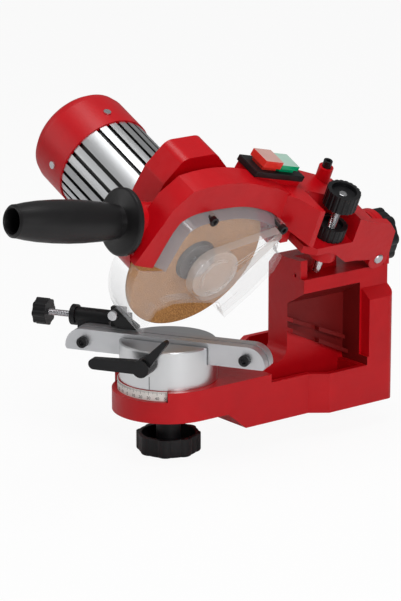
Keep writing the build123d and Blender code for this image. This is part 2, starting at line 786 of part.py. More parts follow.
# ================================================================= motor
spigot_back = motor_back + 18
fin_r = motor_r - fin_depth / 2 + 0.5
fin_step = 360 / fin_count
with BuildPart() as motor_housing:
    with BuildSketch(radial):
        with BuildLine():
            Polyline(
                (can_inner_r, 8 - motor_front), (can_inner_r + 2.9, 8 - motor_front), (can_inner_r + 2.9, -motor_front),
                (motor_r, -motor_front), (motor_r, -motor_back), (can_inner_r + 4.6, -motor_back),
                (can_inner_r + 4.6, -spigot_back), (can_inner_r, -spigot_back), close=True,
            )
        make_face()
    revolve(axis=spindle_axis)
    with BuildSketch(head.offset(-motor_back)):
        for fin in range(fin_count):
            if fin not in (10, 24):
                with PolarLocations(fin_r, 1, start_angle=fin * fin_step):
                    Rectangle(fin_depth + 1, fin_gap)
    extrude(amount=motor_back - motor_front, mode=Mode.SUBTRACT)

with BuildPart() as motor_cap:
    with BuildSketch(radial):
        with BuildLine():
            Polyline(
                (can_inner_r + 4.7, -motor_back - 0.1), (cap_r, -motor_back - 0.1), (cap_r, 12 - cap_back),
                (cap_r - 1.6, 5 - cap_back), (cap_r - 6, -cap_back), (0, -cap_back), (0, 3 - cap_back),
                (cap_r - 7, 3 - cap_back), (can_inner_r + 4.7, 12 - cap_back), close=True,
            )
        make_face()
    revolve(axis=spindle_axis)
    with BuildSketch(head.offset(-cap_back)):
        for row in range(-3, 4):
            with Locations((0, 10 * row)):
                SlotOverall(2 * (38 - 2.4 * abs(row)) - 8, 4)
        Rectangle(8, 90, mode=Mode.SUBTRACT)
    extrude(amount=4, mode=Mode.SUBTRACT)

with BuildPart() as cap_screws:
    for screw in range(4):
        turn = radians(90 * screw + 3)
        side = head.from_local_coords((cos(turn), sin(turn), 0)) - spindle_at
        seat = Plane(
            origin=head.from_local_coords((cap_r * cos(turn), cap_r * sin(turn), -motor_back - 14)),
            x_dir=head.z_dir, z_dir=side,
        )
        with BuildSketch(seat.offset(0.1)):
            Circle(3.6)
        extrude(amount=1.4)

stator_core = turned(
    [(27.5, -92), (can_inner_r - 0.1, -92), (can_inner_r - 0.1, -132), (27.5, -132)], radial, spindle_axis
)
with BuildPart() as field_windings:
    for start in (-84, -132.1):
        with BuildSketch(head.offset(start - 7.8)):
            Circle(38)
            Circle(29, mode=Mode.SUBTRACT)
        extrude(amount=7.8)
rear_shield = turned(
    [(17, -162), (can_inner_r - 0.1, -162), (can_inner_r - 0.1, -158), (4.5, -158), (4.5, -162.9),
     (bearing_r - 3, -162.9), (bearing_r - 3, -171), (17, -171)],
    radial, spindle_axis,
)
with BuildPart() as brush_holders:
    with BuildSketch(head.offset(-157.9)):
        with Locations((0, 25), (0, -25)):
            Rectangle(10, 21)
    extrude(amount=13)
front_bearing = turned(
    [(shaft_r + running, -24.1 - bearing_t), (bearing_r, -24.1 - bearing_t), (bearing_r, -24.1),
     (shaft_r + running, -24.1)],
    radial, spindle_axis,
)
rear_bearing = turned(
    [(4 + running, -163), (bearing_r - 3, -163), (bearing_r - 3, -170), (4 + running, -170)], radial, spindle_axis
)

# ================================================================= spindle
spindle = turned(
    [(0, 16), (4.2, 16), (5, 15), (5, 2), (shaft_r, 2), (shaft_r, -157), (4, -157), (4, -173), (0, -173)],
    radial, spindle_axis,
)
armature_core = turned([(shaft_r, -92), (26.5, -92), (26.5, -132), (shaft_r, -132)], radial, spindle_axis)
with BuildPart() as armature_windings:
    for start in (-84, -132.1):
        with BuildSketch(head.offset(start - 7.8)):
            Circle(23)
            Circle(shaft_r + 4, mode=Mode.SUBTRACT)
        extrude(amount=7.8)
commutator = turned([(shaft_r, -143), (14, -143), (14, -156), (shaft_r, -156)], radial, spindle_axis)
with BuildPart() as cooling_fan:
    with BuildSketch(head.offset(-62)):
        Circle(13)
        Circle(shaft_r, mode=Mode.SUBTRACT)
    extrude(amount=16)
    with BuildSketch(head.offset(-62)):
        Circle(39)
        Circle(shaft_r, mode=Mode.SUBTRACT)
    extrude(amount=2)
    with BuildSketch(head.offset(-62)):
        with PolarLocations(25, 9):
            Rectangle(27, 2)
    extrude(amount=14)
inner_flange = turned(
    [(shaft_r, -9), (flange_r, -9), (flange_r, -disc_t / 2), (disc_bore_r - running, -disc_t / 2),
     (disc_bore_r - running, 1.6), (shaft_r, 1.6)],
    radial, spindle_axis,
)
grinding_disc = turned(
    [(disc_bore_r, -disc_t / 2), (disc_r - 1.2, -disc_t / 2), (disc_r, -disc_t / 2 + 1.2), (disc_r, disc_t / 2 - 1.2),
     (disc_r - 1.2, disc_t / 2), (disc_bore_r, disc_t / 2)],
    radial, spindle_axis,
)
outer_flange = turned(
    [(5, disc_t / 2), (flange_r, disc_t / 2), (flange_r - 2, 6.5), (5, 6.5)], radial, spindle_axis
)
with BuildPart() as spindle_nut:
    with BuildSketch(head.offset(6.5)):
        RegularPolygon(9.8, 6)
        Circle(5, mode=Mode.SUBTRACT)
    extrude(amount=7)

# ================================================================= vise
with BuildPart() as vise_drum:
    with BuildSketch(Plane.XY.offset(drum_low)):
        with Locations((0, drum_y)):
            Circle(drum_r)
    extrude(amount=drum_top - drum_low)
    chamfer(vise_drum.faces().sort_by(Axis.Z)[-1].edges(), 1.2)
    with BuildSketch(rail_face.offset(-chain_gap - rail_t - 0.2)):
        with Locations((0, (rail_low + drum_top) / 2 + 9.8)):
            Rectangle(3 * drum_r, drum_top - rail_low + 20)
    extrude(amount=2 * (chain_gap + rail_t) + 0.4 + rail_travel + 0.3, mode=Mode.SUBTRACT)
    with BuildSketch(rail_face):
        with Locations((0, lever_z)):
            Circle(clamp_screw_r + running)
    extrude(amount=drum_r + 1, mode=Mode.SUBTRACT)
    with BuildSketch(Plane.XY):
        with Locations((0, drum_y)):
            Circle(lock_stud_r + running)
    extrude(amount=60.5, mode=Mode.SUBTRACT)


def rail_sketch():
    """A rail seen from the front: round shoulders where the chain hangs over."""
    with BuildSketch() as rail:
        with Locations((0, (rail_low + rail_top) / 2)):
            Rectangle(2 * rail_half, rail_top - rail_low)
        fillet(rail.vertices().group_by(Axis.Y)[-1], rail_round)
        fillet(rail.vertices().group_by(Axis.Y)[0], 3)
    return rail.sketch


with BuildPart() as fixed_rail:
    with BuildSketch(rail_face.offset(-chain_gap - rail_t)):
        add(rail_sketch())
        with Locations((-rail_screw_x, rail_screw_z), (rail_screw_x, rail_screw_z)):
            Circle(3 + running, mode=Mode.SUBTRACT)
    extrude(amount=rail_t)

with BuildPart() as clamp_rail:
    with BuildSketch(rail_face.offset(chain_gap)):
        add(rail_sketch())
        with Locations((-rail_screw_x, rail_screw_z), (rail_screw_x, rail_screw_z)):
            Circle(3, mode=Mode.SUBTRACT)
    extrude(amount=rail_t)

with BuildPart() as rail_screws:
    with BuildSketch(rail_face.offset(-chain_gap - rail_t)):
        with Locations((-rail_screw_x, rail_screw_z), (rail_screw_x, rail_screw_z)):
            Circle(3)
    extrude(amount=2 * (chain_gap + rail_t))
    with BuildSketch(rail_face.offset(chain_gap + rail_t)):
        with Locations((-rail_screw_x, rail_screw_z), (rail_screw_x, rail_screw_z)):
            Circle(5.2)
    extrude(amount=5)
    with BuildSketch(rail_face.offset(chain_gap + rail_t + 5)):
        with Locations((-rail_screw_x, rail_screw_z), (rail_screw_x, rail_screw_z)):
            RegularPolygon(2.9, 6)
    extrude(amount=-3, mode=Mode.SUBTRACT)

hub_front = drum_r + 21
with BuildPart() as clamp_lever:
    with BuildSketch(rail_face.offset(drum_r + 2)):
        with Locations((0, lever_z)):
            Circle(9.5)
    extrude(amount=hub_front - drum_r - 2)
    for reach, rise, root, tip in ((-47, -1, 7.5, 5), (23, 27, 7.5, 2.6)):
        with BuildSketch(rail_face.offset(hub_front - 11)):
            with Locations((reach * 0.12, lever_z + rise * 0.12)):
                Circle(root)
            with Locations((reach, lever_z + rise)):
                Circle(tip)
            make_hull()
        extrude(amount=8)
    with BuildSketch(rail_face):
        with Locations((0, lever_z)):
            Circle(clamp_screw_r)
    extrude(amount=hub_front - 4, mode=Mode.SUBTRACT)

with BuildPart() as clamp_screw:
    with BuildSketch(rail_face.offset(chain_gap + rail_t)):
        with Locations((0, lever_z)):
            Circle(clamp_screw_r)
    extrude(amount=hub_front - 4 - chain_gap - rail_t)

# ---------------------------------------------------------------- chain stop
stop_at = (stop_line_y, stop_line_z)
body_start = -104.0
body_end = -64.0
slider_start = -60.0
slider_end = -46.0
with BuildPart() as chain_stop_body:
    with BuildSketch(chain_end.offset(body_start)):
        with Locations(stop_at):
            Circle(stop_body_r)
    extrude(amount=body_end - body_start)
    with BuildSketch(chain_end.offset(body_start)):
        with Locations(stop_at):
            Circle(stop_body_r + 2)
    extrude(amount=5)
    with BuildSketch(chain_end.offset(body_start + 8)):
        with Locations(((stop_line_y + chain_gap + rail_t) / 2 + 0.05, 80)):
            Rectangle(stop_line_y - chain_gap - rail_t, 14)
    extrude(amount=28)
    with BuildSketch(chain_end.offset(body_start - 1)):
        with Locations(stop_at):
            Circle(stop_rod_r + running)
    extrude(amount=body_end - body_start + 2, mode=Mode.SUBTRACT)

with BuildPart() as chain_stop_screw:
    with BuildSketch(chain_end.offset(-136)):
        with Locations(stop_at):
            Circle(stop_rod_r)
    extrude(amount=136 + slider_start + 8)

with BuildPart() as chain_stop_knob:
    with BuildSketch(chain_end.offset(-140.5)):
        with Locations(stop_at):
            Circle(11.6)
            with PolarLocations(9.6, 8):
                Circle(3.3)
            Circle(stop_rod_r, mode=Mode.SUBTRACT)
    extrude(amount=13)
    with BuildSketch(chain_end.offset(-140.5)):
        with Locations(stop_at):
            Circle(stop_rod_r + 1)
    extrude(amount=4.5)

ear_y = 6.2
with BuildPart() as chain_stop_slider:
    with BuildSketch(chain_end.offset(slider_start)):
        with BuildLine():
            Polyline(
                (ear_y, rail_top + gap), (stop_line_y + 6, rail_top + gap), (stop_line_y + 6, 96), (12, 97),
                (12, 105), (ear_y, 105), close=True,
            )
        make_face()
    extrude(amount=slider_end - slider_start)
    with BuildSketch(chain_end.offset(slider_start - 1)):
        with Locations(stop_at):
            Circle(stop_rod_r + running)
    extrude(amount=9.1, mode=Mode.SUBTRACT)
    with BuildSketch(rail_face.offset(-14)):
        with Locations((pawl_x, pawl_z)):
            Circle(2.5)
    extrude(amount=14, mode=Mode.SUBTRACT)

with BuildPart() as chain_stop_pawl:
    with BuildSketch(rail_face.offset(gap - ear_y)):
        with Locations((pawl_x, pawl_z)):
            Circle(5)
        with Locations((pawl_x + 5, pawl_z - 7)):
            Circle(5)
        with Locations((pawl_x + 21, rail_top + 3.4)):
            Circle(2)
        make_hull()
        with Locations((pawl_x, pawl_z)):
            Circle(2.5 + running, mode=Mode.SUBTRACT)
    extrude(amount=8.5)

with BuildPart() as pawl_bolt:
    with BuildSketch(rail_face.offset(-12)):
        with Locations((pawl_x, pawl_z)):
            Circle(2.5)
    extrude(amount=15)
    with BuildSketch(rail_face.offset(3)):
        with Locations((pawl_x, pawl_z)):
            Circle(4.6)
    extrude(amount=3.5)

# ---------------------------------------------------------------- vise lock
with BuildPart() as vise_lock_knob:
    with BuildSketch(Plane.XY.offset(lock_knob_low)):
        with Locations((0, drum_y)):
            Circle(28)
            with PolarLocations(21.5, 8):
                Circle(8.5)
    extrude(amount=lock_knob_top - lock_knob_low)
    fillet(vise_lock_knob.faces().sort_by(Axis.Z)[0].edges(), 2.5)
    with BuildSketch(Plane.XY.offset(lock_knob_low + 5)):
        with Locations((0, drum_y)):
            Circle(25)
    extrude(amount=20, mode=Mode.SUBTRACT)
    with BuildSketch(Plane.XY.offset(lock_knob_low + 4)):
        with Locations((0, drum_y)):
            Circle(11.5)
    extrude(amount=15.6 - lock_knob_low - 4)
    with BuildSketch(Plane.XY.offset(lock_knob_low + 4)):
        with Locations((0, drum_y)):
            Circle(lock_stud_r)
    extrude(amount=40, mode=Mode.SUBTRACT)

with BuildPart() as vise_lock_stud:
    with BuildSketch(Plane.XY.offset(lock_knob_low + 4)):
        with Locations((0, drum_y)):
            Circle(lock_stud_r)
    extrude(amount=60 - lock_knob_low - 4)

with BuildPart() as vise_lock_washer:
    with BuildSketch(Plane.XY.offset(nose_z - 1.3)):
        with Locations((0, drum_y)):
            Circle(14)
            Circle(lock_stud_r + running, mode=Mode.SUBTRACT)
    extrude(amount=1.2)

# ================================================================= export
pieces = {
    "base_casting": base_casting, "bearing_plate": bearing_plate, "angle_scale": angle_scale,
    "tilt_bracket": tilt_bracket,
    "tilt_stud": tilt_stud, "tilt_washer": tilt_washer, "tilt_lock_knob": tilt_lock_knob,
    "pivot_pin": pivot_pin, "return_spring": return_spring, "head_housing": head_housing,
    "guard_cover": guard_cover, "guard_screws": guard_screws, "handle_grip": handle_grip,
    "handle_stud": handle_stud, "switch_frame": switch_frame, "stop_button": stop_button,
    "start_button": start_button, "arm_screw": arm_screw, "depth_stop_rod": depth_stop_rod,
    "depth_stop_knob": depth_stop_knob, "depth_stop_nut": depth_stop_nut, "motor_housing": motor_housing,
    "motor_cap": motor_cap, "cap_screws": cap_screws, "stator_core": stator_core,
    "field_windings": field_windings, "rear_shield": rear_shield, "brush_holders": brush_holders,
    "front_bearing": front_bearing, "rear_bearing": rear_bearing, "spindle": spindle,
    "armature_core": armature_core, "armature_windings": armature_windings, "commutator": commutator,
    "cooling_fan": cooling_fan, "inner_flange": inner_flange, "grinding_disc": grinding_disc,
    "outer_flange": outer_flange, "spindle_nut": spindle_nut, "vise_drum": vise_drum,
    "fixed_rail": fixed_rail, "clamp_rail": clamp_rail, "rail_screws": rail_screws,
    "clamp_lever": clamp_lever, "clamp_screw": clamp_screw, "chain_stop_body": chain_stop_body,
    "chain_stop_screw": chain_stop_screw, "chain_stop_knob": chain_stop_knob,
    "chain_stop_slider": chain_stop_slider, "chain_stop_pawl": chain_stop_pawl, "pawl_bolt": pawl_bolt,
    "vise_lock_knob": vise_lock_knob, "vise_lock_stud": vise_lock_stud, "vise_lock_washer": vise_lock_washer,
}
for label, piece in pieces.items():
    piece.part.label = label
    export_step(piece.part, f"parts/{label}.step")
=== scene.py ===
import json
from math import cos, pi, radians, sin

import bmesh
import bpy
from mathutils import Matrix, Vector


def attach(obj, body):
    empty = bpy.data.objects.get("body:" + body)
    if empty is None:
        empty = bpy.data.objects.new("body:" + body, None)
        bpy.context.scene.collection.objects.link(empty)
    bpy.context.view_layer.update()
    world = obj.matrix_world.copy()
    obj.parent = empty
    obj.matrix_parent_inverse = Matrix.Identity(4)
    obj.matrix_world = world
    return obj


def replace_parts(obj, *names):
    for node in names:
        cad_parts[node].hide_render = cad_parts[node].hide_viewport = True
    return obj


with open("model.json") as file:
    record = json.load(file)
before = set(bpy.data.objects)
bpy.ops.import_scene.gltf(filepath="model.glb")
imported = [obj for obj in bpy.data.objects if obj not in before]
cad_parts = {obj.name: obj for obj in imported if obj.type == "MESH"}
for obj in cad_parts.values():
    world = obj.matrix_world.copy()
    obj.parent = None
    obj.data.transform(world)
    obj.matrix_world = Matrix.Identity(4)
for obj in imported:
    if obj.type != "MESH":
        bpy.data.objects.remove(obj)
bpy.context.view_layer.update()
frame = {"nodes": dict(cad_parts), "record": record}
nodes = frame["nodes"]
record = frame["record"]
body_of_node = {n: body for body, members in record["behaviour"]["bodies"].items() for n in members}
slot_of_node = {entry["node"]: entry["material_slot"] for entry in record["subparts"]}

# The machine stands with the origin in the middle of its bench bolts. Its head leans
# 25 degrees to the operator's right; "back", "up" and "out" are the head's own
# directions: away from the operator, up the lean, and along the spindle to the right.
mm = 0.001
lean = radians(25)
spindle_at = Vector((34, -127, 165)) * mm
back = Vector((0, 1, 0))
up = Vector((sin(lean), 0, cos(lean)))
out = Vector((cos(lean), 0, -sin(lean)))
head_axes = (back, up, out)

# The vise drum stands upright and is turned 30 degrees; the chain lies along the first way.
drum_at = Vector((0, -130, 0)) * mm
vise_turn = radians(30)
chain_way = Vector((cos(vise_turn), sin(vise_turn), 0))
across_chain = Vector((-sin(vise_turn), cos(vise_turn), 0))
upright = Vector((0, 0, 1))


def head_place(y, w, h):
    """A point of the head, in millimetres from the spindle's middle."""
    return spindle_at + (back * y + up * w + out * h) * mm


def framed(origin, x_way, y_way, z_way):
    """The place at a point whose own X, Y and Z run along the three ways."""
    return Matrix.Translation(origin) @ Matrix((x_way, y_way, z_way)).transposed().to_4x4()


def added(name, data):
    """A new object in the scene for a mesh, a light, a text or a camera."""
    holder = bpy.data.objects.new(name, data)
    bpy.context.scene.collection.objects.link(holder)
    return holder


head_frame = framed(spindle_at, *head_axes)
vise_frame = Matrix.Translation(drum_at) @ Matrix.Rotation(vise_turn, 4, "Z")


# ---------------------------------------------------------------- finishes
class Finish:
    """A node material under construction; each finish adds its own pattern."""

    def __init__(self, name, colour, roughness, metallic=0.0):
        self.material = bpy.data.materials.new(name)
        self.material.use_nodes = True
        self.nodes = self.material.node_tree.nodes
        self.links = self.material.node_tree.links
        self.shader = self.nodes["Principled BSDF"]
        self.shader.inputs["Base Color"].default_value = (*colour, 1)
        self.shader.inputs["Roughness"].default_value = roughness
        self.shader.inputs["Metallic"].default_value = metallic
        self.colour = colour
        self.place = self.nodes.new("ShaderNodeTexCoord").outputs["Object"]

    def put(self, kind, **sockets):
        """A shader node, with its sockets linked or set by name."""
        node = self.nodes.new("ShaderNode" + kind)
        for name, value in sockets.items():
            socket = node.inputs[name.replace("_", " ")]
            if hasattr(value, "links"):
                self.links.new(value, socket)
            else:
                socket.default_value = value
        return node

    def turn(self, place, axes, stretch):
        """Coordinates along a piece's own axes, about its own middle, each stretched."""
        moved = self.put("VectorMath", Vector=self.place)
        moved.operation = "SUBTRACT"
        moved.inputs[1].default_value = place
        parts = []
        for axis, scale in zip(axes, stretch):
            along = self.nodes.new("ShaderNodeVectorMath")
            along.operation = "DOT_PRODUCT"
            self.links.new(moved.outputs[0], along.inputs[0])
            along.inputs[1].default_value = Vector(axis) * scale
            parts.append(along.outputs["Value"])
        return self.put("CombineXYZ", X=parts[0], Y=parts[1], Z=parts[2]).outputs[0]

    def rings(self, place, axes, across, along):
        """Coordinates that only change with the distance from an axis and along it."""
        flat = self.turn(place, axes, (across, across, 0))
        length = self.nodes.new("ShaderNodeVectorMath")
        length.operation = "LENGTH"
        self.links.new(flat, length.inputs[0])
        high = self.put("SeparateXYZ", Vector=self.turn(place, axes, (0, 0, along))).outputs[2]
        return self.put("CombineXYZ", X=length.outputs["Value"], Y=high).outputs[0]

    def noise(self, scale, detail=3.0, rough=0.5, place=None):
        """A noise pattern, with as many features to the metre as its scale."""
        node = self.put("TexNoise", Vector=place or self.place, Scale=scale, Detail=detail, Roughness=rough)
        return node.outputs["Fac"]

    def mix_colour(self, factor, low, high):
        """Base colour between two shades, as the factor goes from 0.3 to 0.7."""
        ramp = self.put("ValToRGB", Fac=factor)
        ramp.color_ramp.elements[0].position = 0.3
        ramp.color_ramp.elements[0].color = (*low, 1)
        ramp.color_ramp.elements[1].position = 0.7
        ramp.color_ramp.elements[1].color = (*high, 1)
        self.links.new(ramp.outputs["Color"], self.shader.inputs["Base Color"])

    def vary(self, factor, amount):
        """The base colour, darker and lighter by that share."""
        low = tuple(c * (1 - amount) for c in self.colour)
        high = tuple(min(c * (1 + amount), 1) for c in self.colour)
        self.mix_colour(factor, low, high)

    def gloss(self, factor, low, high):
        """The roughness between two values, as the factor goes from 0 to 1."""
        rough = self.put("MapRange", Value=factor, To_Min=low, To_Max=high)
        self.links.new(rough.outputs[0], self.shader.inputs["Roughness"])

    def bump(self, height, depth, under=None):
        """Relief of that depth in metres, on top of the relief under it."""
        node = self.put("Bump", Height=height, Distance=depth)
        node.inputs["Strength"].default_value = 1
        if under:
            self.links.new(under.outputs[0], node.inputs["Normal"])
        self.links.new(node.outputs[0], self.shader.inputs["Normal"])
        return node

    def coat(self, weight, roughness):
        """A clear lacquer over the finish."""
        self.shader.inputs["Coat Weight"].default_value = weight
        self.shader.inputs["Coat Roughness"].default_value = roughness


def enamel(name, colour, roughness=0.34):
    """Gloss paint over a sand casting: orange peel, and the casting's own swell under it."""
    paint_and_groove_shade = Finish(name, colour, roughness)
    paint_and_groove_shade.vary(paint_and_groove_shade.noise(38, 4), 0.06)
    paint_and_groove_shade.gloss(paint_and_groove_shade.noise(160, 3), roughness - 0.06, roughness + 0.08)
    swell = paint_and_groove_shade.bump(paint_and_groove_shade.noise(120, 2), 0.00025)
    paint_and_groove_shade.bump(paint_and_groove_shade.noise(900, 2), 0.00006, swell)
    paint_and_groove_shade.coat(0.04, 0.12)
    paint_and_groove_shade.shader.inputs["Specular IOR Level"].default_value = 0.28
    return paint_and_groove_shade.material


def moulded(name, colour, roughness, grain=1400, depth=0.00008, spread=0.12):
    """Moulded plastic with a fine spark-eroded grain."""
    plastic = Finish(name, colour, roughness)
    plastic.shader.inputs["Specular IOR Level"].default_value = 0.35
    plastic.vary(plastic.noise(60, 4), spread)
    plastic.gloss(plastic.noise(250, 3), roughness - 0.06, roughness + 0.08)
    plastic.bump(plastic.noise(grain, 2), depth)
    return plastic.material


def turned_metal(name, colour, roughness, place, axes):
    """Lathe-turned metal: fine rings on the ends and round the sides."""
    metal = Finish(name, colour, roughness, 1)
    rings_per_metre = 1600
    marks = metal.rings(place, axes, rings_per_metre, rings_per_metre)
    fine = metal.noise(1, 3, 0.6, marks)
    metal.vary(metal.noise(14, 3), 0.05)
    metal.gloss(fine, roughness - 0.08, roughness + 0.12)
    metal.bump(fine, 0.00004)
    return metal.material


def drawn_metal(name, colour, roughness, place, axes, stretch):
    """Metal with marks that run one way, from extrusion, milling or grinding."""
    metal = Finish(name, colour, roughness, 1)
    fine = metal.noise(1, 4, 0.6, metal.turn(place, axes, stretch))
    metal.vary(metal.noise(22, 3), 0.07)
    metal.gloss(fine, roughness - 0.08, roughness + 0.14)
    metal.bump(fine, 0.00004)
    return metal.material


def plated(name, colour, roughness):
    """Zinc-plated or ground steel."""
    metal = Finish(name, colour, roughness, 1)
    metal.vary(metal.noise(180, 4), 0.12)
    metal.gloss(metal.noise(420, 3), roughness - 0.08, roughness + 0.12)
    metal.bump(metal.noise(1200, 2), 0.00003)
    return metal.material


def clear_moulding(name, colour=(0.86, 0.88, 0.9), least=0.03, most=0.5):
    """Clear plastic: nearly nothing face on, brighter and greyer towards its edges."""
    clear = Finish(name, colour, 0.06)
    facing = clear.put("LayerWeight", Blend=0.42).outputs["Facing"]
    alpha = clear.put("MapRange", Value=facing, From_Min=0.25, From_Max=0.95, To_Min=least, To_Max=most)
    clear.links.new(alpha.outputs[0], clear.shader.inputs["Alpha"])
    clear.gloss(clear.noise(90, 2), 0.03, 0.09)
    clear.bump(clear.noise(55, 2), 0.00015)
    clear.shader.inputs["Specular IOR Level"].default_value = 0.75
    clear.coat(0.6, 0.03)
    return clear.material


def bonded_grit(name):
    """Vitrified abrasive: packed grains with dark pores."""
    grit = Finish(name, (0.46, 0.22, 0.07), 0.85)
    grains = grit.put("TexVoronoi", Vector=grit.place, Scale=900)
    grit.mix_colour(grains.outputs["Distance"], (0.30, 0.125, 0.035), (0.55, 0.27, 0.085))
    under = grit.bump(grains.outputs["Distance"], 0.0003)
    grit.bump(grit.noise(1500, 3), 0.0001, under)
    return grit.material


def wound_wire(name):
    """Enamelled copper wire, laid side by side."""
    wire = Finish(name, (0.62, 0.25, 0.1), 0.35, 0.9)
    turns = wire.put("TexWave", Vector=wire.place, Scale=420, Distortion=1.5)
    wire.mix_colour(turns.outputs["Fac"], (0.35, 0.12, 0.04), (0.72, 0.34, 0.14))
    wire.bump(turns.outputs["Fac"], 0.0003)
    return wire.material


def laminated(name):
    """Stacked steel sheets, seen on edge."""
    stack = Finish(name, (0.3, 0.3, 0.32), 0.45, 1)
    along_spindle = stack.turn(spindle_at, (out, up, back), (1, 1, 1))
    sheets = stack.put("TexWave", Vector=along_spindle, Scale=320)
    stack.mix_colour(sheets.outputs["Fac"], (0.12, 0.12, 0.13), (0.42, 0.42, 0.44))
    stack.bump(sheets.outputs["Fac"], 0.0002)
    return stack.material


def grooved_barrel(name):
    """Drawn alloy on the lands; the bottoms of the grooves are near-black and not metallic: painted shade."""
    # Below the lands' radius the colour is near-black: painted shade in the grooves.
    alloy, paint_and_groove_shade = (0.62, 0.63, 0.64), (0.004, 0.004, 0.004)
    groove_shade_to, alloy_from = 46.9 * mm, 47.2 * mm
    metal = Finish(name, alloy, 0.36, 1)
    fine = metal.noise(1, 4, 0.6, metal.turn(spindle_at, head_axes, (900, 900, 25)))
    radius = metal.nodes.new("ShaderNodeVectorMath")
    radius.operation = "LENGTH"
    metal.links.new(metal.turn(spindle_at, head_axes, (1, 1, 0)), radius.inputs[0])
    land = metal.put("MapRange", Value=radius.outputs["Value"], From_Min=groove_shade_to, From_Max=alloy_from)
    metal.mix_colour(land.outputs[0], paint_and_groove_shade, alloy)
    metal.links.new(land.outputs[0], metal.shader.inputs["Metallic"])
    metal.gloss(fine, 0.3, 0.5)
    metal.bump(fine, 0.00003)
    return metal.material


def printed_band(name):
    """Off-white printed film, slightly satin."""
    film = Finish(name, (0.82, 0.8, 0.76), 0.5)
    film.vary(film.noise(120, 3), 0.03)
    film.gloss(film.noise(300, 2), 0.42, 0.58)
    film.bump(film.noise(700, 2), 0.00003)
    return film.material


finishes = {
    "casting_red": enamel("casting_red", (0.50, 0.0015, 0.006)),
    "bracket_paint": enamel("bracket_paint", (0.48, 0.0015, 0.006), 0.4),
    "cap_red": moulded("cap_red", (0.50, 0.003, 0.008), 0.36, 900, 0.00005, 0.05),
    "vise_alloy": turned_metal(
        "vise_alloy", (0.74, 0.75, 0.76), 0.3, drum_at, ((1, 0, 0), (0, 1, 0), upright)
    ),
    "rail_alloy": drawn_metal(
        "rail_alloy", (0.72, 0.73, 0.75), 0.42, drum_at, (chain_way, across_chain, upright),
        (40, 1500, 1500),
    ),
    "motor_alloy": grooved_barrel("motor_alloy"),
    "black_plastic": moulded("black_plastic", (0.006, 0.006, 0.007), 0.4),
    "grip_plastic": moulded("grip_plastic", (0.008, 0.0075, 0.008), 0.36, 1100, 0.00008),
    "black_screw": moulded("black_screw", (0.006, 0.006, 0.007), 0.32, 1800, 0.00003),
    "steel": plated("steel", (0.58, 0.58, 0.6), 0.28),
    "zinc": plated("zinc", (0.72, 0.72, 0.74), 0.24),
    "spring_steel": plated("spring_steel", (0.32, 0.32, 0.34), 0.35),
    "guard_clear": clear_moulding("guard_clear"),
    "abrasive": bonded_grit("abrasive"),
    "label": printed_band("label"),
    "switch_red": moulded("switch_red", (0.72, 0.03, 0.02), 0.16, 600, 0.00002, 0.04),
    "switch_green": moulded("switch_green", (0.0, 0.36, 0.15), 0.16, 600, 0.00002, 0.04),
    "copper": wound_wire("copper"),
    "core_steel": laminated("core_steel"),
    "inner_plastic": moulded("inner_plastic", (0.06, 0.06, 0.06), 0.5),
}


# ---------------------------------------------------------------- pieces
# How near two corners are, in metres, when they are taken as one: on a new piece, on a
# mesh of loose triangles and after solids have been cut; and when two faces are one.
weld, mesh_weld, solid_weld = 1e-6, 2e-6, 2e-5
flat_angle = radians(0.6)


def piece_from(shape, name, body, finish, crease=32):
    """A finished piece from a bmesh in the row frame."""
    mesh = bpy.data.meshes.new(name)
    bmesh.ops.remove_doubles(shape, verts=shape.verts, dist=weld)
    bmesh.ops.recalc_face_normals(shape, faces=shape.faces)
    shape.to_mesh(mesh)
    shape.free()
    for face in mesh.polygons:
        face.use_smooth = True
    mesh.set_sharp_from_angle(angle=radians(crease))
    mesh.materials.append(finishes[finish])
    piece = added(name, mesh)
    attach(piece, body)
    return piece


def repaint(piece, material):
    """Give a piece another material than that of its slot."""
    piece.data.materials.clear()
    piece.data.materials.append(material)


def round_over(shape, edge, corner, finish=-1, inside=True):
    """Round over the edges that turn more than the corner; inside ones too, unless told not to."""
    sharp = [e for e in shape.edges if len(e.link_faces) == 2 and e.calc_face_angle(0) > radians(corner)]
    if not inside:
        sharp = [e for e in sharp if e.is_convex]
    bmesh.ops.bevel(
        shape, geom=sharp, offset=edge * mm, segments=2, profile=0.5, affect="EDGES",
        clamp_overlap=True, material=finish,
    )


def shade_evenly(piece):
    """Keep flat faces flat next to rounded edges."""
    even = piece.modifiers.new("even", "WEIGHTED_NORMAL")
    even.keep_sharp = True


def soften(node, edge, source=None):
    """The CAD node again, or a solid made from it, with its sharp edges rounded over."""
    shape = bmesh.new()
    shape.from_mesh(source or nodes[node].data)
    bmesh.ops.remove_doubles(shape, verts=shape.verts, dist=mesh_weld)
    bmesh.ops.dissolve_limit(shape, angle_limit=flat_angle, verts=shape.verts, edges=shape.edges)
    round_over(shape, edge, 28)
    piece = piece_from(shape, node + "_finished", body_of_node[node], slot_of_node[node], 30)
    shade_evenly(piece)
    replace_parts(piece, node)
    return piece


for node, cad in nodes.items():
    repaint(cad, finishes[slot_of_node[node]])
softened = {
    "tilt_bracket": 0.6, "vise_drum": 0.5, "fixed_rail": 0.6, "clamp_rail": 0.6, "motor_cap": 0.6,
    "tilt_lock_knob": 1.0, "vise_lock_knob": 1.0, "chain_stop_body": 0.6, "chain_stop_slider": 0.6,
    "chain_stop_pawl": 0.6, "chain_stop_knob": 0.9, "rail_screws": 0.4, "spindle_nut": 0.4,
    "outer_flange": 0.4, "pawl_bolt": 0.4,
}
for node, edge in softened.items():
    soften(node, edge)


# ---------------------------------------------------------------- threads and turned work
def along(origin, way):
    """A place whose Z runs along that way."""
    return Matrix.Translation(origin) @ Vector(way).to_track_quat("Z", "Y").to_matrix().to_4x4()


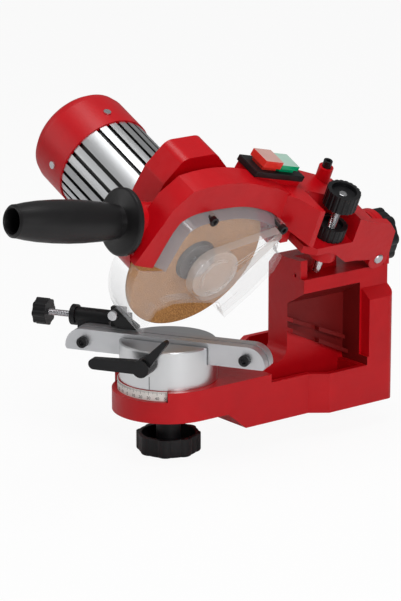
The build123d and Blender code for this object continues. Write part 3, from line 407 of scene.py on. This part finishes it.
def spun(profile, place, name, body, finish, steps=64, crease=32):
    """A turned piece: its half section as (radius, height) in millimetres, round the place's Z."""
    shape = bmesh.new()
    corners = [shape.verts.new((r * mm, 0, z * mm)) for r, z in profile]
    sides = [shape.edges.new(pair) for pair in zip(corners, corners[1:])]
    bmesh.ops.spin(
        shape, geom=corners + sides, cent=(0, 0, 0), axis=(0, 0, 1), angle=2 * pi, steps=steps, use_merge=True
    )
    bmesh.ops.transform(shape, matrix=place, verts=shape.verts)
    return piece_from(shape, name, body, finish, crease)


def screw_thread(place, name, body, finish, radius, pitch, low, high, steps=32):
    """A true screw thread between two heights, cut square at both ends."""
    shape = bmesh.new()
    groove = pitch * 0.55
    crest, root = pitch * 0.14, pitch * 0.57
    turns = int((high - low) / pitch) + 3
    profile = []
    for turn in range(turns):
        z = low - pitch * 1.5 + turn * pitch
        profile += [(radius, z), (radius, z + crest), (radius - groove, z + root)]
    corners = [shape.verts.new((r * mm, 0, z * mm)) for r, z in profile]
    sides = [shape.edges.new(pair) for pair in zip(corners, corners[1:])]
    bmesh.ops.spin(
        shape, geom=corners + sides, cent=(0, 0, 0), axis=(0, 0, 1), dvec=(0, 0, pitch * mm / steps),
        angle=2 * pi, steps=steps,
    )
    bmesh.ops.remove_doubles(shape, verts=shape.verts, dist=mesh_weld)
    for height, way in ((low, -1), (high, 1)):
        whole = shape.verts[:] + shape.edges[:] + shape.faces[:]
        cut = bmesh.ops.bisect_plane(
            shape, geom=whole, plane_co=(0, 0, height * mm), plane_no=(0, 0, way), clear_outer=True
        )
        rim = [e for e in cut["geom_cut"] if isinstance(e, bmesh.types.BMEdge)]
        bmesh.ops.edgenet_fill(shape, edges=rim)
    bmesh.ops.transform(shape, matrix=place, verts=shape.verts)
    return piece_from(shape, name, body, finish, 50)


# The depth stop's rod stands on the saddle's shelf: a plain pin below, an M8 thread above.
stop_back, stop_out = 136, 22
stop_place = along(head_place(stop_back, 0, stop_out), up)
rod = spun(
    [(0, -25), (3.3, -25), (4, -24.3), (4, 4), (3.3, 4.6), (0, 4.6)],
    stop_place, "depth_stop_pin", "stop_rod", "zinc",
)
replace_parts(rod, "depth_stop_rod")
screw_thread(stop_place, "depth_stop_thread", "stop_rod", "zinc", 4, 1.25, 4.4, 64)

# The chain stop's screw, an M6 along the chain behind the rails.
chain_stop_place = along(vise_frame @ (Vector((0, 18.5, 90)) * mm), chain_way)
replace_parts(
    screw_thread(chain_stop_place, "chain_stop_thread", "chain_stop_screw", "zinc", 3, 1.0, -136, -52),
    "chain_stop_screw",
)


# ---------------------------------------------------------------- solids of the head
def as_solid(shape):
    """A working solid from a bmesh; it isn't shown by itself."""
    bmesh.ops.recalc_face_normals(shape, faces=shape.faces)
    if shape.calc_volume(signed=True) < 0:
        bmesh.ops.reverse_faces(shape, faces=shape.faces)
    mesh = bpy.data.meshes.new("working")
    shape.to_mesh(mesh)
    shape.free()
    return added("working", mesh)


def slab(outline, place, low, high):
    """A prism over an outline in the place's XY, in millimetres."""
    shape = bmesh.new()
    bottom = shape.faces.new([shape.verts.new((x * mm, y * mm, low * mm)) for x, y in outline])
    raised = bmesh.ops.extrude_face_region(shape, geom=[bottom])["geom"]
    corners = [part for part in raised if isinstance(part, bmesh.types.BMVert)]
    bmesh.ops.translate(shape, verts=corners, vec=(0, 0, (high - low) * mm))
    bmesh.ops.holes_fill(shape, edges=[e for e in shape.edges if e.is_boundary], sides=0)
    bmesh.ops.transform(shape, matrix=place, verts=shape.verts)
    return as_solid(shape)


def hulled(circles, place, steps=48):
    """The convex solid round some discs, each given as its radius and its middle."""
    shape = bmesh.new()
    for radius, x, y, z in circles:
        at = Matrix.Translation(Vector((x, y, z)) * mm)
        bmesh.ops.create_circle(shape, segments=steps, radius=radius * mm, matrix=at)
    hull = bmesh.ops.convex_hull(shape, input=shape.verts)
    left_over = hull["geom_interior"] + hull["geom_unused"]
    spare = {part for part in left_over if isinstance(part, bmesh.types.BMVert)}
    bmesh.ops.delete(shape, geom=list(spare), context="VERTS")
    bmesh.ops.dissolve_limit(shape, angle_limit=radians(0.5), verts=shape.verts, edges=shape.edges)
    bmesh.ops.transform(shape, matrix=place, verts=shape.verts)
    return as_solid(shape)


def disc(radius, x, y, low, high, place, steps=48):
    """A round solid between two heights."""
    return hulled([(radius, x, y, low), (radius, x, y, high)], place, steps)


def block(x, y, z, place):
    """A box between the two ends of each range."""
    return slab([(x[0], y[0]), (x[1], y[0]), (x[1], y[1]), (x[0], y[1])], place, *z)


def worked(base, *steps):
    """A solid after the others have been added to it, cut out of it or met with it."""
    tools = []
    for how, tool in steps:
        step = base.modifiers.new(how, "BOOLEAN")
        step.operation = {"add": "UNION", "cut": "DIFFERENCE", "meet": "INTERSECT"}[how]
        step.solver = "MANIFOLD"
        step.object = tool
        tools.append(tool)
    bpy.context.view_layer.update()
    seen = base.evaluated_get(bpy.context.evaluated_depsgraph_get())
    mesh = bpy.data.meshes.new_from_object(seen)
    for spare in (base, *tools):
        bpy.data.objects.remove(spare)
    mesh.materials.clear()
    return added("working", mesh)


def finish_solid(
    base, node, edge, name=None, crease=30, corner=24, replaces=True, edge_finish=-1, inside=True
):
    """Turn a working solid into the finished piece of that node, with softened edges."""
    shape = bmesh.new()
    shape.from_mesh(base.data)
    bpy.data.objects.remove(base)
    bmesh.ops.remove_doubles(shape, verts=shape.verts, dist=solid_weld)
    bmesh.ops.dissolve_degenerate(shape, dist=solid_weld, edges=shape.edges)
    bmesh.ops.dissolve_limit(shape, angle_limit=flat_angle, verts=shape.verts, edges=shape.edges)
    round_over(shape, edge, corner, edge_finish, inside)
    piece = piece_from(shape, name or node + "_finished", body_of_node[node], slot_of_node[node], crease)
    shade_evenly(piece)
    if replaces:
        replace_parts(piece, node)
    return piece


def through(start, middle, end, steps=14):
    """Points on the arc from one point through a second to a third, without the last."""
    (ax, ay), (bx, by), (cx, cy) = start, middle, end
    d = 2 * (ax * (by - cy) + bx * (cy - ay) + cx * (ay - by))
    a2, b2, c2 = ax * ax + ay * ay, bx * bx + by * by, cx * cx + cy * cy
    ox = (a2 * (by - cy) + b2 * (cy - ay) + c2 * (ay - by)) / d
    oy = (a2 * (cx - bx) + b2 * (ax - cx) + c2 * (bx - ax)) / d
    centre = Vector((ox, oy))
    first, second, third = (Vector(point) - centre for point in (start, middle, end))
    turn = -first.angle_signed(second) - second.angle_signed(third)
    return [tuple(centre + Matrix.Rotation(turn * i / steps, 2) @ first) for i in range(steps)]


def eased(points, steps=5):
    """A smooth line through the points, without the last."""
    ends = [points[0], *points, points[-1]]
    line = []
    for before, start, end, after in zip(ends, ends[1:], ends[2:], ends[3:]):
        b, s, e, a = (Vector(p) for p in (before, start, end, after))
        bend, ease = 2 * b - 5 * s + 4 * e - a, 3 * s - b - 3 * e + a
        for i in range(steps):
            t = i / steps
            line.append(tuple(0.5 * (2 * s + (e - b) * t + bend * t**2 + ease * t**3)))
    return line


def inset(outline, distance):
    """A closed outline, with every side moved inwards."""
    corners = [Vector(p) for p in outline]
    area = sum(a.x * b.y - b.x * a.y for a, b in zip(corners, corners[1:] + corners[:1]))
    side = 1 if area > 0 else -1
    sharpest = 0.35
    moved = []
    for before, here, after in zip(corners[-1:] + corners[:-1], corners, corners[1:] + corners[:1]):
        one, two = (here - before).normalized(), (after - here).normalized()
        way = Vector((-one.y - two.y, one.x + two.x)) * side
        way.normalize()
        reach = distance / max(way.dot(Vector((-one.y, one.x)) * side), sharpest)
        moved.append(tuple(here + way * reach))
    return moved


# The head's outlines are seen along the spindle, with x to the back and y up the lean, or
# from above, with x to the back and y to the motor's side.
hood = (
    through((-36.7, 89.1), (0, 91.4), (49.6, 79), 20)
    + [(49.6, 79), (63, 75), (83, 65.5), (97, 54), (97, 9), (-57, 9), (-70, 13.1), (-80, 17)]
    + [(-65.2, 48.2), (-53.5, 73.5)]
)
hood_front, hood_back, band_t = 12.0, 13.0, 3.0
hood_wall, hood_floor = 4, -8
saddle_left, saddle_right, cheek_t = 34.0, 38.0, 7.0
shelf_top = 17.0
pin = (195.0, -11.0)
pin_reach, pin_bore = 11.0, 5.05
stop_at = (stop_back, -stop_out)
screw_at = (155, 26)
guard_lip = hood_front - band_t - 0.2
guard_face, guard_back, guard_wall = 20.0, -14.5, 2.5
guard_lap = 8.7
above_frame = framed(spindle_at, back, -out, up)

# The switch pod slopes down to the back; the grip rises to the front and turns a little
# to the motor's side.
slope = radians(15)
pod_x_way = back * cos(slope) - up * sin(slope)
pod_z_way = back * sin(slope) + up * cos(slope)
pod_frame = framed(head_place(73, 74, -15), pod_x_way, pod_z_way.cross(pod_x_way), pod_z_way)
rise, turn_in = radians(8), radians(4)
grip_way = (up * sin(rise) - back * cos(rise)) * cos(turn_in) - out * sin(turn_in)
grip_up = grip_way.cross(out).normalized()
grip_frame = framed(head_place(-78.5, 41.9, -18.9), grip_up.cross(grip_way), grip_up, grip_way)
stud_bore = 5.05


def guard_edge(shrink, bevel):
    """The guard seen along the spindle; the bevel pulls in its upper edge only."""
    keep = 1 - shrink / 70
    pull = 1 - (shrink + bevel) / 60
    mid_x, mid_y = 12, 9
    crown = [(88, 9), (85, 24), (75, 40), (57, 51.5), (26, 61.5), (-15, 63.5), (-36, 59), (-46, 46), (-57, 9)]
    edge = [(mid_x + (x - mid_x) * pull, mid_y + (y - mid_y) * pull) for x, y in crown]
    left = through((-(82 - shrink) * 0.98, 15.6), (-68 * keep, -46 * keep), (-53 * keep, -62 + shrink), 16)
    low = [
        (-53 * keep, -62 + shrink), (-44, -37 + shrink), (-27, -32 + shrink), (-3, -35 + shrink),
        (30, -43 + shrink), (42 * keep, -62 + shrink), (65 - shrink, -40), (85 - shrink, -16),
        (88.5 - shrink, 0),
    ]
    return left + low + eased(edge) + [edge[-1], (-70 * keep, 12.6)]


def guard_taper(shrink, low, high):
    """The guard's dished front, drawn in at the crown from one height to the other."""
    shape = bmesh.new()
    drawn_in = 7
    rings = []
    for bevel, z in ((0, low), (drawn_in, high)):
        rim = [shape.verts.new((x * mm, y * mm, z * mm)) for x, y in guard_edge(shrink, bevel)]
        rings.append(shape.faces.new(rim))
    sides = [e for ring in rings for e in ring.edges]
    bmesh.ops.bridge_loops(shape, edges=sides)
    bmesh.ops.transform(shape, matrix=head_frame, verts=shape.verts)
    return as_solid(shape)


def guard_skirt(shrink):
    """The guard's outline below the hood, without its crown."""
    return [(x, y) for x, y in guard_edge(shrink, 0) if y < guard_lap]


def at_depths(depths, *circles):
    """The same circles, each (radius, x, y), at two depths, for a hull."""
    return [(radius, x, y, depth) for depth in depths for radius, x, y in circles]


# The head casting: a hood over the disc, a lower neck and a shell round the motor
# behind it, and a saddle that runs back to the swing pivot.
neck = at_depths((-30.5, -12.5), (44, 0, 0), (10, -22, 58), (10, 28, 56))
shell = at_depths(
    (-60, -30),
    (49, 0, 0), (9, -26, 64), (12, -12, 80), (12, 12, 80), (10, 46, 48), (10, -25, 20), (10, 40, 0),
)
saddle = [
    (40, 60), (84, 66), (111, 59), (140, 48), (176, 34), (197, 16), (195, -7), (176, -8), (152, -6),
    (137, 5), (107, 18), (85, 30), (40, 20),
]
outer_cheek = [(170, 36), (194, 31), (204, 20), (206.5, -8), pin, (170, -8)]
between_cheeks = [(227, 24), (174, 26), (138, 41), (112, 50), (104, 50), (104, -60), (227, -60)]
saddle_waist = [(20, -12), (78, -12), (98, -38), (98, -70), (20, -70)]
over_shelf = [(104, shelf_top), (153, shelf_top), (153, 80), (104, 80)]
shelf = [(100, -5), (158, -5), (158, -37.9), (112, -37.9), (100, -30)]
inner_wall = [(100, 8), (158, 8), (158, 41.5), (140, 47.5), (111, 58.5), (100, 61.5)]
rear_wall = [(153.2, 9), (158.2, 9), (158.2, 41), (153.2, 42.5)]
guard_seat = [(x, y) for x, y in guard_edge(-0.3, 0) if y > 8.9 and x > -60]
whole_head = worked(
    slab(hood, head_frame, -hood_back, hood_front),
    ("add", hulled(neck, head_frame, 64)),
    ("add", hulled(shell, head_frame, 72)),
    ("add", disc(18, 0, 0, -52, 0, grip_frame)),
    ("add", slab(saddle, head_frame, -saddle_left, saddle_right)),
    ("add", disc(pin_reach, *pin, -saddle_left, saddle_right, head_frame)),
    ("add", slab(outer_cheek, head_frame, saddle_right - cheek_t, saddle_right)),
    ("cut", slab(saddle_waist, above_frame, -40, 100)),
    ("cut", block((-95, -71), (0, 38), (-14, 4), head_frame)),
    ("cut", slab(between_cheeks, head_frame, cheek_t - saddle_left, saddle_right - cheek_t)),
    ("cut", slab(over_shelf, head_frame, 5, 45)),
    ("add", slab(shelf, above_frame, shelf_top - 8, shelf_top)),
    ("add", disc(13, *stop_at, shelf_top - 23, shelf_top - 0.1, above_frame)),
    ("add", slab(inner_wall, head_frame, 0, 5.1)),
    ("add", slab(rear_wall, head_frame, 0.5, 37.8)),
    ("add", disc(7, *screw_at, 40, 57, above_frame, 32)),
    ("add", block((-30, 30), (-13, 13), (-34, 0), pod_frame)),
)
disc_chamber = worked(
    slab(inset(hood, hood_wall), head_frame, hood_floor, hood_front - band_t),
    ("add", block((-74, 76), (-6, 14), (hood_floor, hood_front - band_t), head_frame)),
    ("meet", disc(87.5, 0, 0, hood_floor - 1, 10, head_frame, 96)),
)
head_casting = worked(
    whole_head,
    ("cut", disc(4.4, *stop_at, -30, 60, above_frame, 32)),
    ("cut", disc(pin_bore, *pin, -60, 60, head_frame, 32)),
    ("cut", block((-23, 23), (-10, 10), (-20, 1), pod_frame)),
    ("cut", disc_chamber),
    ("cut", disc(23, 0, 0, -11, -7, head_frame)),
    ("cut", slab(guard_seat + [(-56.8, -38), (97.5, -38), (97.5, 8.9)], head_frame, 8, 13)),
    ("cut", disc(44, 0, 0, -61, -40, head_frame, 72)),
    ("cut", disc(14, 0, 0, -41, -24, head_frame)),
    ("cut", disc(9, 0, 0, -41, 0, head_frame)),
    ("cut", disc(stud_bore, 0, 0, -20, 1, grip_frame, 32)),
)
finish_solid(head_casting, "head_housing", 1.1)

# The clear guard, one moulding: a dished front that drops from behind the hood's band,
# a rim round the disc, and a boss over the spindle nut with an arm to the rear screw.
screw_seats = [(-9.5, 57, 16.0), (73.5, 36, 21.0)]
nut_boss, arm_end = (7, -1), (66, 31)
boss_and_arm = [(28, *nut_boss, 19.9), (6, *arm_end, 19.9), (27, *nut_boss, 28), (5, *arm_end, 28)]
groove_ends = ((1.6, 27, 8), (1.6, 62, 29.5))
inner_back = guard_back - 1
guard = worked(
    guard_taper(0.3, guard_lip, guard_face),
    ("add", slab(guard_skirt(0.3) + [(88, guard_lap), (-80, guard_lap)], head_frame, guard_back, 9)),
    ("add", hulled(boss_and_arm, head_frame, 64)),
    ("add", disc(19, *nut_boss, 27.9, 29.4, head_frame, 64)),
    *[("add", disc(5.2, x, y, guard_lip, seat, head_frame, 32)) for x, y, seat in screw_seats],
    ("cut", guard_taper(2.8, guard_lip - 0.1, guard_face - guard_wall)),
    ("cut", slab(guard_skirt(2.8) + [(85, 9.1), (-77, 9.1)], head_frame, inner_back, 8.9)),
    ("cut", disc(74, 0, 0, inner_back, 8.9, head_frame, 96)),
    ("cut", block((-43, 37), (-92, -32), (inner_back, guard_face - guard_wall), head_frame)),
    ("cut", hulled([(25.5, *nut_boss, 17.4), (24.5, *nut_boss, 25.5)], head_frame, 64)),
    ("cut", disc(16.5, *nut_boss, 28, 30, head_frame, 64)),
    ("cut", hulled(at_depths((27, 29), *groove_ends), head_frame, 16)),
    ("cut", block((-120, 120), (guard_lap, 60), (-16, 8.6), head_frame)),
    *[("cut", disc(2.1, x, y, 0, 30, head_frame, 24)) for x, y, seat in screw_seats],
)
cover = finish_solid(guard, "guard_cover", 0.55, corner=30, edge_finish=1)
# The guard's bevelled edges and its boss get pale, more opaque copies of the clear finish as painted
# highlight; its sloped crown gets a grey one as painted reflection.
cover.data.materials.append(clear_moulding("guard_edge_highlight", (0.9, 0.86, 0.8), 0.8, 0.9))
cover.data.materials.append(clear_moulding("guard_slope_reflection", (0.36, 0.345, 0.37), 0.6, 0.85))
cover.data.materials.append(clear_moulding("guard_boss_highlight", (0.84, 0.78, 0.74), 0.4, 0.6))
face_finish, slope_reflection_finish, boss_highlight_finish = 0, 2, 3
for face in cover.data.polygons:
    facing = face.normal.dot(out)
    at = face.center - spindle_at
    high, far = at.dot(up) / mm, at.dot(out) / mm
    if face.material_index != face_finish:
        continue
    if far > guard_face + 0.5 and facing < 0.8:
        face.material_index = boss_highlight_finish
    elif 0.2 < abs(facing) < 0.95 and high > 8 and far > guard_lip:
        face.material_index = slope_reflection_finish
for number, (x, y, seat) in enumerate(screw_seats):
    screw = worked(
        disc(2, x, y, guard_lip - 2.9, seat + 0.2, head_frame, 24),
        ("add", disc(4.4, x, y, seat + 0.1, seat + 4.8, head_frame, 40)),
        ("cut", disc(2.4, x, y, seat + 2.4, seat + 6, head_frame, 6)),
    )
    finish_solid(screw, "guard_screws", 0.4, f"guard_screw_{number}", replaces=number == 0)

# The grip: a flange, a swelling handle and a hollow end, on a steel stud.
grip = spun(
    [(0, 42), (5, 42), (5, 0), (30.5, 0), (30.5, 3.5), (29.6, 4.6), (28, 5.2), (18, 6), (15, 7.3), (15, 11.8),
     (16.2, 12.8), (17, 18.8), (17.8, 28), (19, 44.5), (19.4, 60), (19.1, 76), (18, 93.5), (16.4, 106.5),
     (15, 114), (14.6, 118.5), (12.8, 120.4), (11.6, 119.8), (11.2, 118.4), (11, 96), (0, 96)],
    grip_frame, "handle_grip_finished", body_of_node["handle_grip"], "grip_plastic", 96, 34,
)
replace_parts(grip, "handle_grip")
stud = spun(
    [(0, -19.9), (4.9, -19.9), (4.9, 40), (0, 40)],
    grip_frame, "handle_stud_finished", "head", "steel", 32,
)
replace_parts(stud, "handle_stud")

# The clamp's cranked lever: a hub on the screw, a long arm and a short thin one.
chain_frame = framed(drum_at, chain_way, upright, -across_chain)
lever_z, hub_front = 71.5, 66.0
long_arm = at_depths((hub_front - 10.5, hub_front - 2.5), (6, -5.6, lever_z), (5, -47, lever_z - 1))
short_arm = at_depths((hub_front - 10, hub_front - 3), (5.2, 2.6, lever_z + 3), (2.3, 22, lever_z + 25))
lever = worked(
    disc(8.2, 0, lever_z, 47, hub_front, chain_frame),
    ("add", hulled(long_arm, chain_frame, 32)),
    ("add", hulled(short_arm, chain_frame, 32)),
    ("cut", disc(4.05, 0, lever_z, 40, hub_front - 4, chain_frame, 32)),
)
finish_solid(lever, "clamp_lever", 1.0)

# The switch: a black frame in the pod, with a red and a green rocker.
frame_part = worked(
    block((-32, 32), (-14, 14), (0.05, 6), pod_frame),
    ("add", block((-22.7, 22.7), (-9.7, 9.7), (-18, 0.1), pod_frame)),
    ("cut", block((-21, 21), (-8.5, 8.5), (-13.5, 7), pod_frame)),
)
finish_solid(frame_part, "switch_frame", 1.2)
rockers = {
    "stop_button": (-11.6, 16, (0.62, 0.36, 0.32)),
    "start_button": (11.6, 13.5, (0.42, 0.62, 0.52)),
}
# Each rocker's upward-facing top gets a paler copy of its colour: a painted highlight.
highlight_finish = 1
for node, (middle, top, top_highlight) in rockers.items():
    solid = worked(
        block((middle - 9.1, middle + 9.1), (-7.9, 7.9), (-9.3, 9.2), pod_frame),
        ("add", block((middle - 11.3, middle + 11.3), (-10.5, 10.5), (8.8, top), pod_frame)),
    )
    rocker = finish_solid(solid, node, 1.6, inside=False)
    rocker.data.materials.append(moulded(node + "_top", top_highlight, 0.12, 600, 0.00002, 0.04))
    for face in rocker.data.polygons:
        height = (face.center - pod_frame.translation).dot(pod_z_way) / mm
        if face.normal.dot(pod_z_way) > 0.9 and height > 10:
            face.material_index = highlight_finish


def knurled(node, low, height, radius, cup_r, grips):
    """A grip on the depth stop's rod: notched round the rim, hollowed on top."""
    place = above_frame @ Matrix.Translation(Vector((*stop_at, 0)) * mm)
    top, notch_r, bore, cup_depth = low + height, 1.6, 4.1, 4
    notches = []
    for turn in range(grips):
        angle = 2 * pi * turn / grips
        x, y = (radius + 0.9) * cos(angle), (radius + 0.9) * sin(angle)
        notches.append(("cut", disc(notch_r, x, y, low - 1, top + 1, place, 14)))
    solid = worked(
        disc(radius, 0, 0, low, top, place, 96), *notches,
        ("cut", disc(cup_r, 0, 0, top - cup_depth, top + 1, place)),
        ("cut", disc(bore, 0, 0, low - 1, top + 1, place, 32)),
    )
    finish_solid(solid, node, 0.6)


knurled("depth_stop_knob", low=51, height=17, radius=16, cup_r=12, grips=20)
knurled("depth_stop_nut", low=shelf_top + 0.25, height=13.5, radius=14.5, cup_r=10, grips=18)
socket_screw = worked(
    disc(4.3, *screw_at, 57.05, 64, above_frame, 40),
    ("cut", disc(2.4, *screw_at, 60.5, 65, above_frame, 6)),
)
finish_solid(socket_screw, "arm_screw", 0.4)

# The base casting again, with the crest that rises in front of and beside the depth stop.
casting = bmesh.new()
casting.from_mesh(nodes["base_casting"].data)
bmesh.ops.remove_doubles(casting, verts=casting.verts, dist=mesh_weld)
column_front, column_top, crest_top = -12, 125, 146
column_frame = Matrix.Translation(Vector((0, column_front, 0)) * mm) @ Matrix.Rotation(radians(90), 4, "X")
column_side = Matrix.Rotation(radians(90), 4, "X") @ Matrix.Rotation(radians(90), 4, "Y")
crest_corner = [(9, crest_top), (0.05, 136)]
crest = [(0.05, column_top), (46.7, column_top), (46.7, crest_top), *crest_corner]
inner_crest = [(0.05, column_top), (27, column_top), (27, crest_top), *crest_corner]
side_opening = [(2, 104), (2, 60), (20, 60), (20, 100)]
casting = worked(
    as_solid(casting),
    ("add", slab(crest, column_frame, -8, -0.05)),
    ("add", slab(inner_crest, column_frame, -60, -7)),
    ("cut", disc(1.7, 38.5, 131, -9, 1, column_frame, 20)),
    ("cut", slab(side_opening, column_side, 30, 47)),
)
base_piece = soften("base_casting", 1.2, source=casting.data)
bpy.data.objects.remove(casting)

# The column's recess is darker than the outside: painted shade, in a darker copy of the red enamel.
recess = ((20, 46.2), (-11.5, 84), (48, 124))
painted_shade_finish = 1
base_piece.data.materials.append(enamel("casting_painted_shade", (0.17, 0.004, 0.004), 0.5))
for face in base_piece.data.polygons:
    if all(low < value < high for value, (low, high) in zip(face.center / mm, recess)):
        face.material_index = painted_shade_finish
repaint(bpy.data.objects["outer_flange_finished"], plated("flange_steel", (0.17, 0.155, 0.145), 0.42))

# The motor's extruded barrel: broad lands with deep grooves between them, their bottoms dark with painted
# shade. Two grooves are left out, where the lands are wider.
barrel_r, barrel_bore, barrel_end, barrel_start = 47.5, 41.2, -148, -60.1
groove_count, closed_grooves = 28, (10, 24)
grooves = []
for groove in range(groove_count):
    if groove in closed_grooves:
        continue
    turned_to = head_frame @ Matrix.Rotation(2 * pi * groove / groove_count, 4, "Z")
    cutter = block((44.6, 49), (-1.8, 1.8), (barrel_end - 0.5, barrel_start - 0.5), turned_to)
    grooves.append(("cut", cutter))
barrel = worked(
    disc(barrel_r, 0, 0, barrel_end, barrel_start, head_frame, 168), *grooves,
    ("cut", disc(barrel_bore, 0, 0, barrel_end - 1, -59, head_frame, 96)),
)
finish_solid(barrel, "motor_housing", 0.35, "motor_barrel", 22, 30)

# ---------------------------------------------------------------- angle scale
band_face = 47.0 + 0.03
band_low = 37.0
tick_top = 8.6
ink_t = 0.03
zero_at = 90
ink = moulded("printed_black", (0.03, 0.03, 0.03), 0.5, 900, 0.00001)


def on_band(angle):
    """A place on the band's face: X runs round it, Y up, Z out of it."""
    turn = radians(angle)
    outward = Vector((cos(turn), sin(turn), 0))
    rounding = Vector((-sin(turn), cos(turn), 0))
    at = drum_at + outward * band_face * mm + Vector((0, 0, band_low * mm))
    return framed(at, rounding, upright, outward)


shape = bmesh.new()
for reading in range(-50, 51):
    if reading % 10 == 0:
        height, width = 3.4, 0.3
    elif reading % 5 == 0:
        height, width = 2.5, 0.22
    else:
        height, width = 1.7, 0.16
    tick = bmesh.ops.create_cube(shape, size=1)["verts"]
    bmesh.ops.scale(shape, verts=tick, vec=(width * mm, height * mm, ink_t * mm))
    bmesh.ops.translate(shape, verts=tick, vec=(0, (tick_top - height / 2) * mm, 0))
    bmesh.ops.transform(shape, matrix=on_band(reading - zero_at), verts=tick)
repaint(piece_from(shape, "angle_ticks", "base", "label"), ink)
for reading in range(-50, 51, 10):
    letters = bpy.data.curves.new(f"reading_{reading}", "FONT")
    letters.body = str(abs(reading))
    letters.size = 3.9 * mm
    letters.align_x = "CENTER"
    letters.extrude = ink_t / 2 * mm
    holder = added("letters", letters)
    bpy.context.view_layer.update()
    mesh = bpy.data.meshes.new_from_object(holder)
    bpy.data.objects.remove(holder)
    mesh.transform(on_band(reading - zero_at) @ Matrix.Translation((0, 1.0 * mm, 0)))
    figure = added(f"reading_{'m' if reading < 0 else 'p'}{abs(reading)}", mesh)
    repaint(figure, ink)
    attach(figure, "base")

# The engraved pointer on the drum, filled with black.
shape = bmesh.new()
pointer_at = vise_frame @ Matrix.Translation(Vector((0, -45, 52.6)) * mm)
bmesh.ops.create_cube(shape, size=1)
bmesh.ops.scale(shape, verts=shape.verts, vec=(0.6 * mm, 0.12 * mm, 12 * mm))
bmesh.ops.transform(shape, matrix=pointer_at, verts=shape.verts)
repaint(piece_from(shape, "drum_pointer", "vise", "vise_alloy"), ink)

# ---------------------------------------------------------------- floor, light and camera
floor_z = -0.0245
shape = bmesh.new()
bmesh.ops.create_grid(shape, x_segments=1, y_segments=1, size=9)
bmesh.ops.translate(shape, verts=shape.verts, vec=(0, 0, floor_z))
mesh = bpy.data.meshes.new("floor")
shape.to_mesh(mesh)
shape.free()
floor = added("floor", mesh)


def seen_white(tree, shaded, share=1.0):
    """White by that share where the camera or a clear piece looks; shaded light elsewhere."""
    path = tree.nodes.new("ShaderNodeLightPath")
    either = tree.nodes.new("ShaderNodeMath")
    either.operation = "MAXIMUM"
    tree.links.new(path.outputs["Is Camera Ray"], either.inputs[0])
    tree.links.new(path.outputs["Is Transmission Ray"], either.inputs[1])
    part = tree.nodes.new("ShaderNodeMath")
    part.operation = "MULTIPLY"
    tree.links.new(either.outputs[0], part.inputs[0])
    part.inputs[1].default_value = share
    mix = tree.nodes.new("ShaderNodeMixShader")
    tree.links.new(part.outputs[0], mix.inputs[0])
    tree.links.new(shaded, mix.inputs[1])
    white = tree.nodes.new("ShaderNodeBackground" if tree.nodes.get("World Output") else "ShaderNodeEmission")
    white.inputs["Color"].default_value = (1, 1, 1, 1)
    white.inputs["Strength"].default_value = 1.0
    tree.links.new(white.outputs[0], mix.inputs[2])
    return mix.outputs[0]


studio = bpy.data.materials.new("studio_floor")
studio.use_nodes = True
tree = studio.node_tree
tree.nodes.remove(tree.nodes["Principled BSDF"])
paper = tree.nodes.new("ShaderNodeBsdfDiffuse")
paper.inputs["Color"].default_value = (0.86, 0.86, 0.86, 1)
floor_look = seen_white(tree, paper.outputs[0], 0.93)
tree.links.new(floor_look, tree.nodes["Material Output"].inputs["Surface"])
floor.data.materials.append(studio)

world = bpy.data.worlds.new("studio")
bpy.context.scene.world = world
world.use_nodes = True
tree = world.node_tree
sky = tree.nodes["Background"]
sky.inputs["Color"].default_value = (1, 1, 1, 1)
sky.inputs["Strength"].default_value = 0.22
tree.links.new(seen_white(tree, sky.outputs[0]), tree.nodes["World Output"].inputs["Surface"])


def aimed(holder, place, aim):
    """Put a lamp or a camera at a place and turn it to a point."""
    holder.location = place
    holder.rotation_euler = (Vector(aim) - Vector(place)).to_track_quat("-Z", "Y").to_euler()


def lamp(name, place, aim, power, width, height):
    """A soft box."""
    light = bpy.data.lights.new(name, "AREA")
    light.shape = "RECTANGLE"
    light.size = width
    light.size_y = height
    light.energy = power
    aimed(added(name, light), place, aim)


lit = (0.0, -0.06, 0.12)
lamp("overhead", (0.1, -0.2, 1.5), lit, power=12, width=1.0, height=0.9)
lamp("left_front", (-1.2, -1.3, 0.9), lit, power=3.5, width=0.7, height=1.0)
lamp("right_front", (1.7, -0.5, 0.7), lit, power=14, width=0.7, height=0.7)

camera = bpy.data.cameras.new("camera")
camera.lens = 182.8
camera.sensor_width = 36
camera.clip_start = 0.1
camera.clip_end = 30
viewer = added("camera", camera)
aimed(viewer, (2.1295, -1.7565, 0.8617), (0.0034, -0.0952, 0.1135))
bpy.context.scene.camera = viewer

bpy.context.scene.view_settings.view_transform = "Standard"
